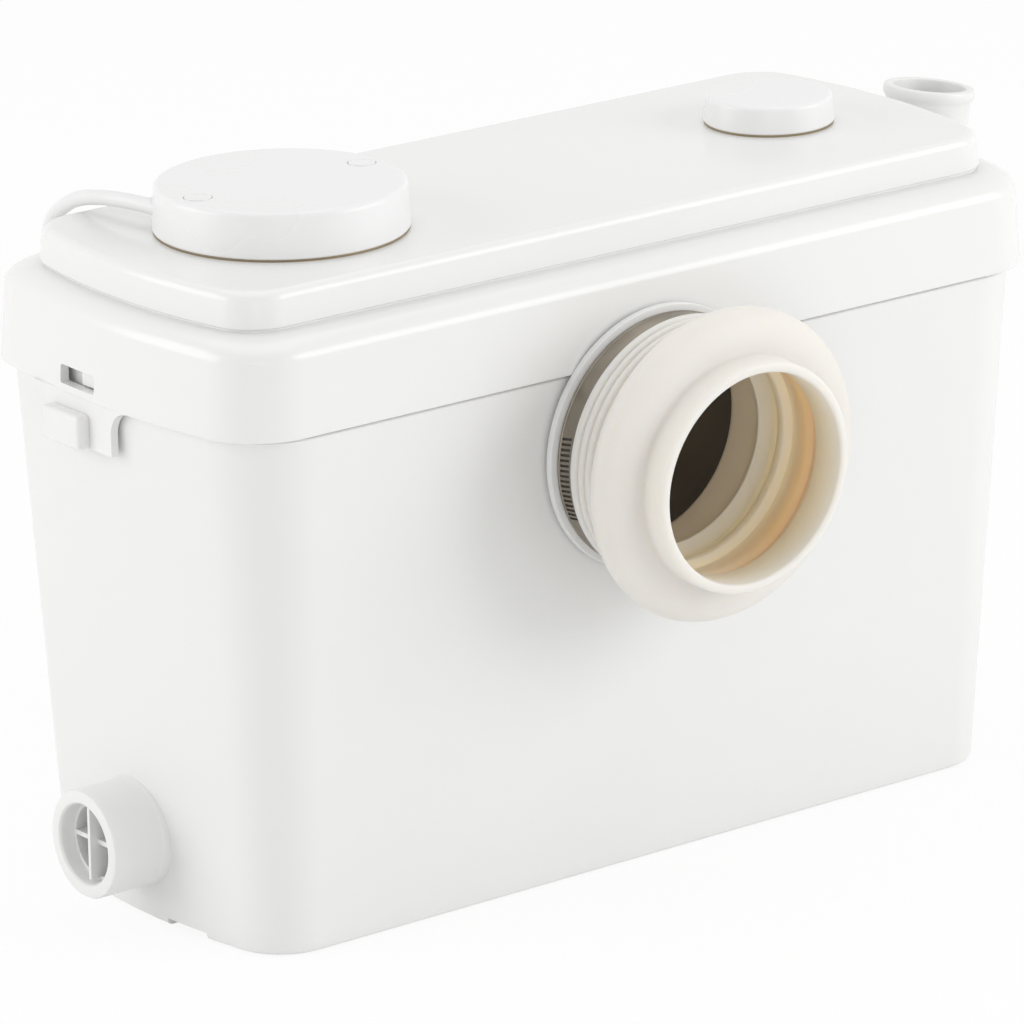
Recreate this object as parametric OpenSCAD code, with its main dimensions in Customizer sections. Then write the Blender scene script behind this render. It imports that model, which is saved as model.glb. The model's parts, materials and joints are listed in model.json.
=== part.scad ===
// Macerator pump that stands behind a toilet pan, in millimetres.
// X runs to the right, Y to the back and Z up from the floor, with the origin under the middle of the tank.

/* [Tank] */
// Width of the tank at its base
base_w = 402.4; // [390:0.2:414]
// Depth of the tank at its base
base_d = 160.8; // [150:0.2:172]
// Width of the tank just under the skirt of the lid
brim_w = 428; // [420:0.2:434]
// Depth of the tank just under the skirt of the lid
brim_d = 185.4; // [178:0.2:188]
// Corner radius in plan at the base
base_r = 26; // [20:0.5:32]
// Corner radius in plan under the skirt
brim_r = 34; // [28:0.5:40]
// Outward bow of the tank's ends
end_bow = 10; // [6:0.1:14]
// Height of the tank up to the skirt
tank_h = 224.4; // [216:0.2:234]
// Wall of the tank
wall = 3.5; // [2.8:0.1:4.2]
// Thickness of the tank's floor
floor_t = 4; // [3:0.1:5]

/* [Lid] */
// Width over the lower edge of the skirt
skirt_w = 438.6; // [436:0.2:446]
// Depth over the lower edge of the skirt
skirt_d = 189.8; // [189:0.2:196]
// Corner radius of the skirt
skirt_r = 32; // [26:0.5:38]
// Height of the skirt
skirt_h = 32; // [30:0.2:36]
// Rise of the rounded shoulder
shoulder_h = 9.7; // [7:0.1:12]
// Width of the raised plateau
plateau_w = 411.4; // [400:0.2:420]
// Depth of the raised plateau
plateau_d = 155.2; // [148:0.2:162]
// Corner radius of the plateau
plateau_r = 25; // [20:0.5:30]
// Rise of the plateau above the shoulder
plateau_h = 15.1; // [12:0.1:18]
// Radius of the plateau's upper edge
plateau_edge = 4; // [2:0.1:5]
// Wall of the lid
lid_wall = 3.5; // [2.8:0.1:4]

/* [Latches] */
// Place of the left latch along the depth
latch_y = 11; // [6:0.5:16]
// Width of the latch tab
latch_w = 44; // [38:0.5:50]
// Drop of the tab below the skirt
latch_drop = 20; // [16:0.5:24]
// Width of the window in the skirt
window_w = 24.6; // [18:0.2:30]
// Height of the window in the skirt
window_h = 7.8; // [6:0.1:10]

/* [Caps] */
// Place of the motor along the width
motor_x = -123.7; // [-130:0.1:-118]
// Place of the motor along the depth
motor_y = -1; // [-5:0.1:3]
// Radius of the motor cap
cap_r = 53; // [51.6:0.1:54]
// Height of the motor cap above the lid
cap_h = 20.3; // [18:0.1:24]
// Distance of each cap screw from the middle of the cap
cap_screw_x = 41.5; // [40:0.1:42]
// Radius of the plugs over the cap screws
plug_r = 5.7; // [5:0.1:6.4]
// Place of the vent along the width
vent_x = 136.5; // [128:0.5:144]
// Radius of the vent cap
vent_r = 28.2; // [26.6:0.1:30]
// Height of the vent cap above the lid
vent_h = 13; // [11:0.1:16]

/* [Pan inlet] */
// Place of the inlet along the width
pan_x = -3; // [-8:0.5:4]
// Drop of the inlet's axis below the skirt, where it meets the tank
pan_drop = 34.4; // [33.4:0.1:41]
// Radius of the flange on the tank
flange_r = 57; // [56.4:0.1:58.4]
// Outer radius of the spigot
spigot_r = 50.5; // [49.6:0.1:51.2]
// Bore of the spigot
spigot_bore = 47; // [46:0.1:47.6]
// Outer radius of the sleeve's neck under the clip
neck_r = 53.6; // [53:0.1:54.4]
// Largest radius of the sleeve
bulge_r = 67.7; // [64:0.1:70]
// Distance of that largest radius from the tank
bulge_l = 44.5; // [42:0.5:47]
// Distance of the mouth from the tank
mouth_l = 68; // [66:0.5:74]
// Radius of the mouth that takes the pan's spigot
mouth_r = 45; // [43:0.1:46]

/* [Side inlet] */
// Place of the side inlet along the depth
side_y = 1.6; // [-6:0.1:8]
// Height of the side inlet
side_z = 37.2; // [33:0.1:42]
// Reach of the side inlet from the middle of the tank
side_reach = 230; // [226:0.5:240]
// Outer radius of the side inlet
side_r = 23; // [22:0.1:24]
// Bore of the side inlet
side_bore = 17; // [16.4:0.1:18]

/* [Discharge] */
// Place of the outlet along the depth
out_y = 34.4; // [30:0.1:38]
// Height of the outlet
out_z = 178; // [172:0.5:182]
// Outer radius of the outlet spigot that the elbow turns on
out_r = 16.5; // [16.2:0.1:17]
// Place of the upright leg along the width
leg_x = 249; // [247:0.5:256]
// Height of the mouth above the outlet's axis
leg_h = 94.9; // [88:0.1:104]
// Lean of the leg outwards
leg_lean = 7; // [0:0.5:12]
// Bore of the mouth for the discharge pipe
leg_bore = 16; // [15.4:0.1:16.4]
// Radius of the bead round the mouth
bead_r = 20.3; // [19.6:0.1:22]

/* [Motor and pump] */
// Radius of the pump casing
pump_r = 48; // [46:0.5:50]
// Height of the pump casing
pump_h = 44; // [42:0.5:46]
// Radius of the grinder basket
basket_r = 54; // [52:0.5:55]
// Height of the grinder basket
basket_h = 70; // [64:0.5:76]
// Thickness of the motor's base
seat_t = 16; // [15:0.5:18]
// Radius of the motor can
motor_r = 42; // [41:0.1:43]
// Height of the stator
stator_h = 56; // [48:0.5:64]
// Radius of the shaft
shaft_r = 5; // [4:0.1:6]
// Radius of the impeller
impeller_r = 34; // [30:0.5:36]
// Length of the grinder blade
blade_l = 92; // [80:0.5:96]
// Outer radius of the inner hose
hose_r = 16; // [15.4:0.1:16.6]

/* [Pressure switch] */
// Place of the switch along the width
bell_x = 80; // [76:0.5:88]
// Place of the switch along the depth
bell_y = -15; // [-20:0.5:-8]
// Outer radius of the pressure bell
bell_r = 17; // [15:0.1:19]

/* [Cord] */
// Diameter of the cable
cord_d = 6.4; // [6:0.1:6.8]
// Outer radius of the coil along the cable's middle
coil_r = 43; // [41:0.5:46]
// Step of the coil from turn to turn
coil_step = 7.2; // [7:0.1:8]
// Radius of the plug
mains_r = 19; // [17:0.5:21]
// Length of the plug's body
mains_l = 38; // [34:0.5:44]

/* [Hidden] */
$fn = 48;

// Levels of the shell
skirt_top = tank_h + skirt_h;
shoulder_top = skirt_top + shoulder_h;
lid_top = shoulder_top + plateau_h;
lid_under = lid_top - lid_wall;
rim_top = tank_h + 25.6;
seal_h = 2;
skirt_bow = end_bow + 0.8;
skirt_in = 2;
skirt_wall = lid_wall + 1;
rim_play = 1;
lid_step = lid_wall + 5;

// Fits
slip = 0.1;
run = 0.05;
gap = 0.3;

// Pan inlet, measured along its axis from the wall of the tank
pan_draft = atan((brim_d - base_d) / 2 / tank_h);
pan_z = tank_h - pan_drop;
pan_y = -(base_d + (brim_d - base_d) * pan_z / tank_h) / 2;
boss_l = 2.4;
boss_r = spigot_r + 2;
flange_l = 3;
neck_l = boss_l + flange_l;
flare_l = neck_l + 22.6;
spigot_l = 14.2;
spigot_in = 12;
flap_t = 2.6;
flap_pin_r = 2;
flap_pin_y = spigot_r + 5;
flap_pin_l = -spigot_in - gap - flap_t / 2;
flap_ear_x = 9;
flap_rise = 8.3;

// Clip on the sleeve
band_w = 9;
band_t = 0.9;
band_l = neck_l + 0.8;
clip_turn = -38;

// Side inlet
side_in = base_w / 2 - 5.2;
side_collar = 10.3;
side_flap_t = 2.2;
side_pin_r = 1.5;
side_pin_z = side_z + side_r + 3.4;
side_pin_x = -side_in + gap + side_flap_t / 2;

// Discharge, with the inner hose on the stub of the outlet
stub_r = hose_r - 2.5;
stub_x = 185;
out_wall_x = 212;
out_end = 228;
bend_r = 20;
elbow_wall = 3;
elbow_x = out_wall_x + 1.5;
socket_r = out_r + 3.5;
bend_x = leg_x - bend_r;
out_bore = out_r - 3;
out_seat = stub_r - 2.5;
check_r = out_bore - 0.9;
check_t = 1.6;
check_pin_r = 0.8;
check_pin_x = out_wall_x + gap + check_t;
check_pin_z = out_bore - 2.9;

// Motor and pump, stacked from the floor of the tank
pump_top = floor_t + pump_h;
basket_top = pump_top + basket_h;
seat_top = basket_top + seat_t;
can_t = 2;
can_top = lid_top + 2;
stator_z = seat_top + 24;
rotor_r = 21.5;
bearing_r = shaft_r + 8;
bearing_h = 8;
eye_r = 18;
hose_z = floor_t + 22;
hose_bend = 40;
hose_x0 = motor_x + pump_r + 2;
hose_x1 = stub_x + 16;

// Caps
gasket_h = 1;
cap_wall = 2.6;
cap_top = lid_top + cap_h;
cap_in = cap_r - cap_wall;
vent_wall = 2.2;
vent_top = lid_top + vent_h;

// Pressure switch under the lid
switch_z = lid_under - 30;
switch_r = 22;
plunger_r = 3;
plunger_travel = 2;

// Route of the cord
cord_r = cord_d / 2;
cord_z = cord_r + 1.6;
cord_x = -166;
grip_y = 15;
exit_z = lid_top + 10;
coil_x = 40;
coil_y = 168;
coil_turns = 4.5;
coil_lift = cord_d + 0.6;
coil_flip = coil_turns / 2;
back_y = skirt_d / 2 + cord_r + 5;
cable_route = [[cord_x, grip_y, exit_z], [cord_x, grip_y + 14, exit_z], [-167.5, 42, exit_z - 0.2],
    [-169, 56, exit_z - 1.2], [-169.4, 65, exit_z - 2.6], [-169.3, 74, exit_z - 4.6],
        [-168.8, 84, exit_z - 8.2],
    [-168.3, 93, exit_z - 13.4], [-167.7, back_y - 3.5, exit_z - 18.8], [-167, back_y + 1.1, exit_z - 26.6],
    [-166.4, back_y + 3, exit_z - 36.5], [-165.6, back_y + 3, 225], [-164.6, back_y + 3, 185],
    [-163.4, back_y + 3, 145], [-162.2, back_y + 3.2, 105], [-161, back_y + 3.8, 68],
        [-160, back_y + 4.5, 46],
    [-155, back_y + 6.5, 25.5], [-141, back_y + 10, 10.4], [-121, back_y + 14, cord_z],
        [-96, back_y + 18, cord_z],
    [-66, back_y + 21, cord_z], [-36, coil_y - coil_r, cord_z], [-6, coil_y - coil_r, cord_z],
    [coil_x - 20, coil_y - coil_r, cord_z], [coil_x, coil_y - coil_r, cord_z]];
tail_start = [coil_x, coil_y + coil_r, cord_z + coil_lift];
mains_x = coil_x - 62;
tail_route = [tail_start, [coil_x - 10, coil_y + coil_r, cord_z + coil_lift],
    [coil_x - 24, coil_y + coil_r, cord_z + coil_lift + 2], [coil_x - 40, coil_y + coil_r, mains_r - 1],
    [coil_x - 52, coil_y + coil_r, mains_r + 0.5], [mains_x, coil_y + coil_r, mains_r + 0.5]];

// Plan outline with bowed ends, as points counted anticlockwise from the right end
function end_radius(d, b) = (d * d + b * b) / (2 * b);
function quarter(w, d, r, b) =
    let (e = end_radius(d, b))
    let (cx = w - e)
    let (yc = d - r)
    let (xc = cx + sqrt((e - r) * (e - r) - yc * yc))
    let (a = atan2(yc, xc - cx))
    concat([for (i = [0:4]) [cx + e * cos(a * i / 4), e * sin(a * i / 4)]],
        [for (i = [1:6]) let (t = a + (90 - a) * i / 6) [xc + r * cos(t), yc + r * sin(t)]]);
function outline(w, d, r, b) =
    let (q = quarter(w, d, r, b))
    let (n = len(q) - 1)
    concat(q, [for (i = [n:-1:0]) [-q[i][0], q[i][1]]], [for (i = [1:n]) [-q[i][0], -q[i][1]]],
        [for (i = [n:-1:1]) [q[i][0], -q[i][1]]]);
function ring(w, d, r, b, z) = [for (p = outline(w, d, r, b)) [p[0], p[1], z]];

// Tank's outline at height z, drawn in by s
function tank_ring(z, s) =
    let (t = min(z, tank_h) / tank_h)
    ring((base_w + (brim_w - base_w) * t) / 2 - s, (base_d + (brim_d - base_d) * t) / 2 - s,
        base_r + (brim_r - base_r) * t - s, end_bow, z);
function rim_ring(z, s) = ring(skirt_w / 2 - skirt_wall - rim_play - 1.6 - s,
    skirt_d / 2 - skirt_wall - rim_play - s, skirt_r - skirt_wall - s, skirt_bow, z);
function skirt_ring(z, s) = ring(skirt_w / 2 - s, skirt_d / 2 - s, skirt_r - s, skirt_bow, z);
function plateau_ring(z, s) = ring(plateau_w / 2 - s, plateau_d / 2 - s, plateau_r - s, end_bow, z);
function shoulder_ring(a) =
    let (t = 1 - cos(a))
    let (s0 = skirt_in)
    ring((skirt_w / 2 - s0) * (1 - t) + (plateau_w / 2 + 0.6) * t,
        (skirt_d / 2 - s0) * (1 - t) + (plateau_d / 2 + 0.6) * t,
        (skirt_r - s0) * (1 - t) + plateau_r * t, skirt_bow, skirt_top + (shoulder_h - 1.2) * sin(a));
tank_rings = [tank_ring(floor_t, wall + 2), tank_ring(floor_t + 2, wall), tank_ring(tank_h - 8, wall),
    rim_ring(tank_h - 3, wall), rim_ring(rim_top, wall), rim_ring(rim_top, 0), rim_ring(tank_h - 1, 0),
    tank_ring(tank_h - 1, 0), tank_ring(2, 0), tank_ring(0.6, 0.6), tank_ring(0, 2)];
lid_rings = concat([plateau_ring(lid_under, lid_step + 2), plateau_ring(lid_under - 2, lid_step),
    plateau_ring(rim_top + seal_h, lid_step), skirt_ring(rim_top + seal_h, skirt_wall),
    skirt_ring(tank_h, skirt_wall), skirt_ring(tank_h, 0.8), skirt_ring(tank_h + 0.8, 0),
    skirt_ring(skirt_top - 4, skirt_in - 0.2)], [for (a = [0:15:90]) shoulder_ring(a)],
    [plateau_ring(shoulder_top - 1.2, 1.4), plateau_ring(shoulder_top, 1.4),
        plateau_ring(shoulder_top + 0.3, 0),
    plateau_ring(lid_top - plateau_edge, 0.9)],
    [for (a = [22.5:22.5:90]) plateau_ring(lid_top - plateau_edge * (1 - sin(a)),
        0.9 + plateau_edge * (1 - cos(a)))]);

// Faces of a stack of rings, closed by a flat face at each end or joined end to end
function stack_faces(m, n, up, loop) =
    [for (k = [0:m - (loop ? 1 : 2)]) for (i = [0:n - 1])
        let (a = k * n, b = ((k + 1) % m) * n, j = (i + 1) % n)
        up ? [b + i, b + j, a + j, a + i] : [a + i, a + j, b + j, b + i]];
function end_faces(m, n, up) = [[for (i = [0:n - 1]) up ? i : n - 1 - i],
    [for (i = [0:n - 1]) (m - 1) * n + (up ? n - 1 - i : i)]];
function joined(rings) = [for (r = rings) for (p = r) p];
module stack(rings, up) {
    m = len(rings);
    n = len(rings[0]);
    polyhedron(joined(rings), concat(stack_faces(m, n, up, false), end_faces(m, n, up)), convexity = 6);
}
module closed_stack(rings, up) {
    polyhedron(joined(rings), stack_faces(len(rings), len(rings[0]), up, true), convexity = 6);
}

// Round tube swept along points, with each ring square to the run of the points beside it
function unit(v) = v / norm(v);
function run_of(p, i) = unit(p[min(i + 1, len(p) - 1)] - p[max(i - 1, 0)]);
function side_of(t) = unit(cross(t, abs(t[2]) > 0.8 ? [1, 0, 0] : [0, 0, 1]));
function carried(s, t) = unit(s - t * (s * t));
function sides_from(p, i, s) = i >= len(p) ? [] :
    let (c = carried(s, run_of(p, i)))
    concat([c], sides_from(p, i + 1, c));
function tube_rings(p, r, n) =
    let (s = sides_from(p, 0, side_of(run_of(p, 0))))
    [for (i = [0:len(p) - 1]) let (t = run_of(p, i), u = s[i], v = cross(t, s[i]))
        [for (k = [0:n - 1]) p[i] + r * (u * cos(360 * k / n) + v * sin(360 * k / n))]];
module swept(p, r, n) {
    stack(tube_rings(p, r, n), true);
}
function eased(p, i, k) = let (a = p[max(i - 1, 0)], b = p[i], c = p[i + 1], d = p[min(i + 2, len(p) - 1)])
    0.5 * (2 * b + (c - a) * k + (2 * a - 5 * b + 4 * c - d) * k * k + (3 * b - a - 3 * c + d) * k * k * k);
function smooth_route(p, k) = concat([for (i = [0:len(p) - 2]) for (j = [0:k - 1]) eased(p, i, j / k)],
    [p[len(p) - 1]]);

// Coil that spirals in on the lower layer and out again on the upper one
function coil_at(t) =
    let (r = coil_r - coil_step * (coil_flip - abs(t - coil_flip)))
    let (z = cord_z + coil_lift * max(0, min(1, (t - coil_flip + 0.25) * 2)))
    [coil_x + r * sin(360 * t), coil_y - r * cos(360 * t), z];
coil_end = [1.4, 0, 0];
coil_start = [coil_x, coil_y - coil_r, cord_z];
coil_points = concat([coil_start, coil_start + coil_end],
    [for (i = [1:24 * coil_turns - 1]) coil_at(i / 24)],
    [tail_start + coil_end, tail_start]);
coil_gap = min([for (i = [0:len(coil_points) - 1]) for (j = [i + 12:1:len(coil_points) - 1])
    norm(coil_points[i] - coil_points[j])]) - cord_d;
echo(coil_gap = coil_gap);

module on_pan_axis() {
    translate([pan_x, pan_y, pan_z]) rotate([90 + pan_draft, 0, 0]) children();
}
module on_motor(z) {
    translate([motor_x, motor_y, z]) children();
}
module along_x(x, y, z) {
    translate([x, y, z]) rotate([0, 90, 0]) children();
}
module along_y(x, y, z) {
    translate([x, y, z]) rotate([-90, 0, 0]) children();
}
module tube(ro, ri, h) {
    difference() {
        cylinder(r = ro, h = h);
        translate([0, 0, -1]) cylinder(r = ri, h = h + 2);
    }
}

module side_ears() {
    for (y = [side_y - 8.5, side_y + 5.5])
        translate([-side_in - 5, y, side_z + side_r - 3]) cube([12, 3, 10.4]);
}
module catches() {
    for (a = [0, 180])
        rotate([0, 0, a]) translate([-brim_w / 2, latch_y - 9.5, tank_h + 4.4]) cube([8, 19, 6]);
}
module tank() {
    color([0.94, 0.94, 0.93]) difference() {
        union() {
            stack(tank_rings, false);
            on_pan_axis() translate([0, 0, -5.5]) cylinder(r = boss_r, h = 5.5 + boss_l);
            along_x(-side_reach, side_y, side_z) cylinder(r = side_r, h = side_reach - side_in - 1);
            along_x(-side_in - side_collar, side_y, side_z) cylinder(r = side_r + 0.6, h = side_collar);
            along_x(stub_x, out_y, out_z) cylinder(r = stub_r, h = 22);
            along_x(out_wall_x - 8, out_y, out_z) cylinder(r = out_r, h = out_end - out_wall_x + 8);
            along_x(out_wall_x - 7, out_y, out_z) cylinder(r = socket_r, h = 7);
            side_ears();
            catches();
        }
        on_pan_axis() translate([0, 0, -20]) cylinder(r = spigot_r + slip, h = 30);
        along_x(-side_reach - 1, side_y, side_z) cylinder(r = side_bore, h = side_reach - side_in + 2);
        along_x(stub_x - 1, out_y, out_z) cylinder(r = out_seat, h = out_end - stub_x + 2);
        along_x(out_wall_x, out_y, out_z) cylinder(r = out_bore, h = out_end - out_wall_x + 1);
        along_y(side_pin_x, side_y - 12, side_pin_z) cylinder(r = side_pin_r + 0.02, h = 24);
        along_y(check_pin_x, out_y - 11, out_z + check_pin_z) cylinder(r = check_pin_r + 0.02, h = 22);
        translate([-base_w / 2 - 4, -40.5, -1]) cube([12, 24.5, 4]);
    }
}

module window() {
    translate([-skirt_w / 2 - 2, latch_y + 0.7 - window_w / 2, tank_h + 3.8]) cube([12, window_w,
        window_h]);
}
module lid() {
    color([0.95, 0.95, 0.94]) difference() {
        stack(lid_rings, true);
        on_pan_axis() translate([0, 0, -9]) cylinder(r = boss_r + 0.8, h = 18);
        on_motor(lid_under - 3) cylinder(r = motor_r + 0.6, h = lid_wall + 6);
        for (s = [-1, 1])
            on_motor(lid_under - 3) translate([s * cap_screw_x, 0, 0]) cylinder(r = 2.4, h = lid_wall + 6);
        translate([vent_x, 0, lid_under - 3]) cylinder(r = 12, h = lid_wall + 6);
        for (a = [0, 180])
            rotate([0, 0, a]) window();
    }
}
module lid_seal() {
    color([0.12, 0.12, 0.12]) closed_stack([rim_ring(rim_top, wall - 0.4), rim_ring(rim_top + seal_h,
        wall - 0.4),
        rim_ring(rim_top + seal_h, 0.4), rim_ring(rim_top, 0.4)], false);
}

// Latch tab under each end of the skirt, with hollow flanks and a finger pad
module latch_shape() {
    h = latch_w / 2;
    f = 11;
    difference() {
        translate([-h - f, -latch_drop]) square([latch_w + 2 * f, latch_drop]);
        for (s = [-1, 1]) {
            translate([s * (h + f), -f]) circle(r = f);
            translate([s * (h + f) - f, -latch_drop - 1]) square([2 * f, latch_drop + 1 - f]);
        }
    }
}
module latch() {
    x0 = skirt_w / 2 - 0.9;
    translate([-x0, latch_y, tank_h]) rotate([90, 0, 90]) linear_extrude(lid_wall) latch_shape();
    translate([-x0 - 6, latch_y - 7, tank_h - latch_drop]) cube([6, latch_w / 2 + 4, 14.4]);
}
module lid_latches() {
    color([0.95, 0.95, 0.94]) for (a = [0, 180])
        rotate([0, 0, a]) latch();
}

module motor_cap() {
    r_top = cap_r - 0.8;
    z0 = lid_top + gasket_h;
    h = cap_h - gasket_h;
    color([0.95, 0.95, 0.95]) difference() {
        union() {
            on_motor(z0) rotate_extrude() polygon([[cap_in, 0], [cap_r - 0.3, 0], [cap_r, 0.4],
                [r_top, h - 2.4],
                [r_top - 0.7, h - 0.7], [r_top - 2.4, h], [0, h], [0, h - cap_wall],
                    [cap_in, h - cap_wall]]);
            for (s = [-1, 1])
                on_motor(can_top + gap) translate([s * cap_screw_x, 0, 0])
                    cylinder(r = 4.6, h = cap_h - cap_wall - 2.2);
        }
        for (s = [-1, 1])
            on_motor(lid_top) translate([s * cap_screw_x, 0, 0]) {
                cylinder(r = 2.2, h = cap_h + 1);
                translate([0, 0, cap_h - 6]) cylinder(r = 4, h = 7);
                translate([0, 0, cap_h - 1.4]) cylinder(r = plug_r + run, h = 3);
            }
        along_y(cord_x, grip_y + 3, exit_z) cylinder(r = cord_r + 0.25, h = 30);
    }
}
module motor_cap_plugs() {
    color([0.93, 0.93, 0.93]) for (s = [-1, 1])
        on_motor(cap_top - 1.4) translate([s * cap_screw_x, 0, 0]) cylinder(r = plug_r, h = 1.7);
}
module motor_cap_screws() {
    color([0.7, 0.7, 0.72]) for (s = [-1, 1])
        on_motor(lid_top) translate([s * cap_screw_x, 0, 0]) {
            translate([0, 0, -4]) cylinder(r = 2, h = cap_h - 1.5);
            translate([0, 0, cap_h - 6]) cylinder(r = 3.8, h = 2.6);
        }
}
module motor_cap_gasket() {
    color([0.2, 0.17, 0.14]) on_motor(lid_top) tube(cap_r - 1.6, motor_r + 5, gasket_h);
}
module vent_cap() {
    h = vent_h - gasket_h;
    r_top = vent_r - 0.7;
    color([0.95, 0.95, 0.95]) translate([vent_x, 0, lid_top + gasket_h]) rotate_extrude()
        polygon([[vent_r - vent_wall, 0], [vent_r - 0.3, 0], [vent_r, 0.4], [r_top, h - 2],
            [r_top - 0.6, h - 0.6],
            [r_top - 2, h], [0, h], [0, h - vent_wall], [vent_r - vent_wall, h - vent_wall]]);
}
module vent_gasket() {
    color([0.2, 0.17, 0.14]) translate([vent_x, 0, lid_top]) tube(vent_r - 1.4, vent_r - 6, gasket_h);
}
module carbon_filter() {
    color([0.1, 0.1, 0.1]) translate([vent_x, 0, lid_top]) cylinder(r = vent_r - 7, h = 7);
}

module pan_spigot() {
    color([0.93, 0.93, 0.92]) on_pan_axis() difference() {
        union() {
            translate([0, 0, boss_l]) cylinder(r = flange_r, h = flange_l);
            translate([0, 0, -spigot_in]) cylinder(r = spigot_r, h = spigot_in + spigot_l);
            for (x = [-flap_ear_x - 4, flap_ear_x]) {
                translate([x, spigot_r - 4, -spigot_in]) cube([4, 12.5, 3]);
                translate([x, spigot_bore + 2, -spigot_in - 5]) cube([4, spigot_r - spigot_bore + 6.5, 8]);
            }
        }
        translate([0, 0, -spigot_in - 6]) cylinder(r = spigot_bore, h = spigot_in + spigot_l + 8);
        translate([-20, flap_pin_y, flap_pin_l]) rotate([0, 90, 0]) cylinder(r = flap_pin_r + 0.02, h = 40);
    }
}
// Ribbed rubber sleeve, drawn as radius against distance from the tank
function bulge(t) = [neck_r + 1 + (bulge_r - neck_r - 1) * pow(sin(90 * t), 1.15),
    flare_l + (bulge_l - flare_l) * pow(t, 0.9)];
function brow(t) = [mouth_r + 5.4 + (bulge_r - mouth_r - 5.4) * cos(90 * t),
    bulge_l + (mouth_l - 12 - bulge_l) * sin(90 * t)];
module pan_sleeve() {
    color([0.91, 0.89, 0.85]) on_pan_axis() rotate_extrude() polygon(concat(
        [[spigot_r + run, neck_l], [neck_r, neck_l], [neck_r, neck_l + 10.4], [neck_r + 2.4, neck_l + 11],
        [neck_r + 2.4, neck_l + 15.9], [neck_r + 0.8, neck_l + 16.5], [neck_r + 0.8, neck_l + 17.1],
        [neck_r + 2.4, neck_l + 17.7], [neck_r + 2.4, neck_l + 20.4], [neck_r + 0.8, neck_l + 21],
        [neck_r + 0.8, neck_l + 22.2]],
        [for (i = [0:8]) bulge(i / 8)], [for (i = [1:6]) brow(i / 6)],
        [[mouth_r + 4.6, mouth_l - 10.4], [mouth_r + 4.4, mouth_l - 1], [mouth_r + 3.4, mouth_l],
        [mouth_r + 0.8, mouth_l], [mouth_r, mouth_l - 1], [mouth_r, mouth_l - 16],
        [mouth_r + 5, mouth_l - 22.8], [mouth_r + 5, mouth_l - 23.4], [mouth_r + 3.9, mouth_l - 25],
        [mouth_r + 3.3, mouth_l - 28], [mouth_r + 3.6, mouth_l - 31.5], [mouth_r + 4.6, mouth_l - 35],
        [mouth_r + 5, mouth_l - 37], [mouth_r + 1.5, mouth_l - 38.6], [mouth_r + 1.5, 25.5],
        [spigot_r, 22], [spigot_r, 19],
        [mouth_r - 1.6, 17.4], [mouth_r - 1.6, 15.8], [spigot_r + run, spigot_l + gap]]));
}
module on_clip() {
    on_pan_axis() rotate([0, 0, clip_turn]) translate([neck_r + band_t + 0.3, 0, band_l + band_w / 2])
        children();
}
module sleeve_clip_band() {
    color([0.62, 0.6, 0.57]) on_pan_axis() translate([0, 0, band_l]) tube(neck_r + band_t,
        neck_r + run, band_w);
}
module sleeve_clip_housing() {
    color([0.62, 0.6, 0.57]) on_clip() difference() {
        translate([0, -7, -5]) cube([8.4, 14, 10]);
        translate([4.6, -8, 0]) rotate([-90, 0, 0]) cylinder(r = 3.2, h = 16);
    }
}
module sleeve_clip_screw() {
    color([0.7, 0.69, 0.66]) on_clip() translate([4.6, 0, 0]) rotate([-90, 0, 0]) {
        translate([0, 0, -9]) cylinder(r = 3, h = 17);
        translate([0, 0, 8]) cylinder(r = 4, h = 5, $fn = 6);
    }
}
module pan_flap() {
    w = 2 * flap_ear_x - 2;
    l0 = -spigot_in - gap - flap_t;
    color([0.09, 0.08, 0.07]) on_pan_axis() difference() {
        union() {
            translate([0, 0, l0]) cylinder(r = spigot_bore + 1.5, h = flap_t);
            translate([0, 0, l0 + 1]) cylinder(r = spigot_bore - 0.8, h = flap_t + flap_rise - 1);
            translate([-w / 2, spigot_bore - 6, l0]) cube([w, flap_pin_y - spigot_bore + 6, flap_t]);
            translate([-w / 2, flap_pin_y, flap_pin_l]) rotate([0, 90, 0]) cylinder(r = 4, h = w);
        }
        translate([-w, flap_pin_y, flap_pin_l]) rotate([0, 90, 0]) cylinder(r = flap_pin_r + run,
            h = 2 * w);
    }
}
module pan_flap_pin() {
    color([0.7, 0.7, 0.72]) on_pan_axis() translate([-14, flap_pin_y, flap_pin_l]) rotate([0, 90, 0])
        cylinder(r = flap_pin_r, h = 28);
}

// Cage in the mouth of the side inlet: a ring with an upright web and short cross ribs
module side_inlet_cage() {
    r = side_bore - slip;
    color([0.93, 0.93, 0.93]) along_x(-side_reach + 7, side_y, side_z) {
        tube(r, r - 1.8, 9);
        translate([-r + 1, -0.8, -4]) cube([2 * r - 2, 1.6, side_reach - side_in - 20.5]);
        for (s = [-1, 1])
            translate([-1, s > 0 ? 0.7 : -r + 1, 0]) cube([2, r - 1.7, 9]);
    }
}
module side_inlet_flap() {
    r = side_bore + 1.6;
    color([0.09, 0.08, 0.07]) difference() {
        union() {
            along_x(-side_in + gap, side_y, side_z) cylinder(r = r, h = side_flap_t);
            translate([-side_in + gap, side_y - 4.5, side_z]) cube([side_flap_t, 9, side_pin_z - side_z]);
            along_y(side_pin_x, side_y - 4.5, side_pin_z) cylinder(r = 3, h = 9);
        }
        along_y(side_pin_x, side_y - 9, side_pin_z) cylinder(r = side_pin_r + run, h = 18);
    }
}
module side_inlet_flap_pin() {
    color([0.7, 0.7, 0.72]) along_y(side_pin_x, side_y - 9, side_pin_z) cylinder(r = side_pin_r, h = 18);
}
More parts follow.
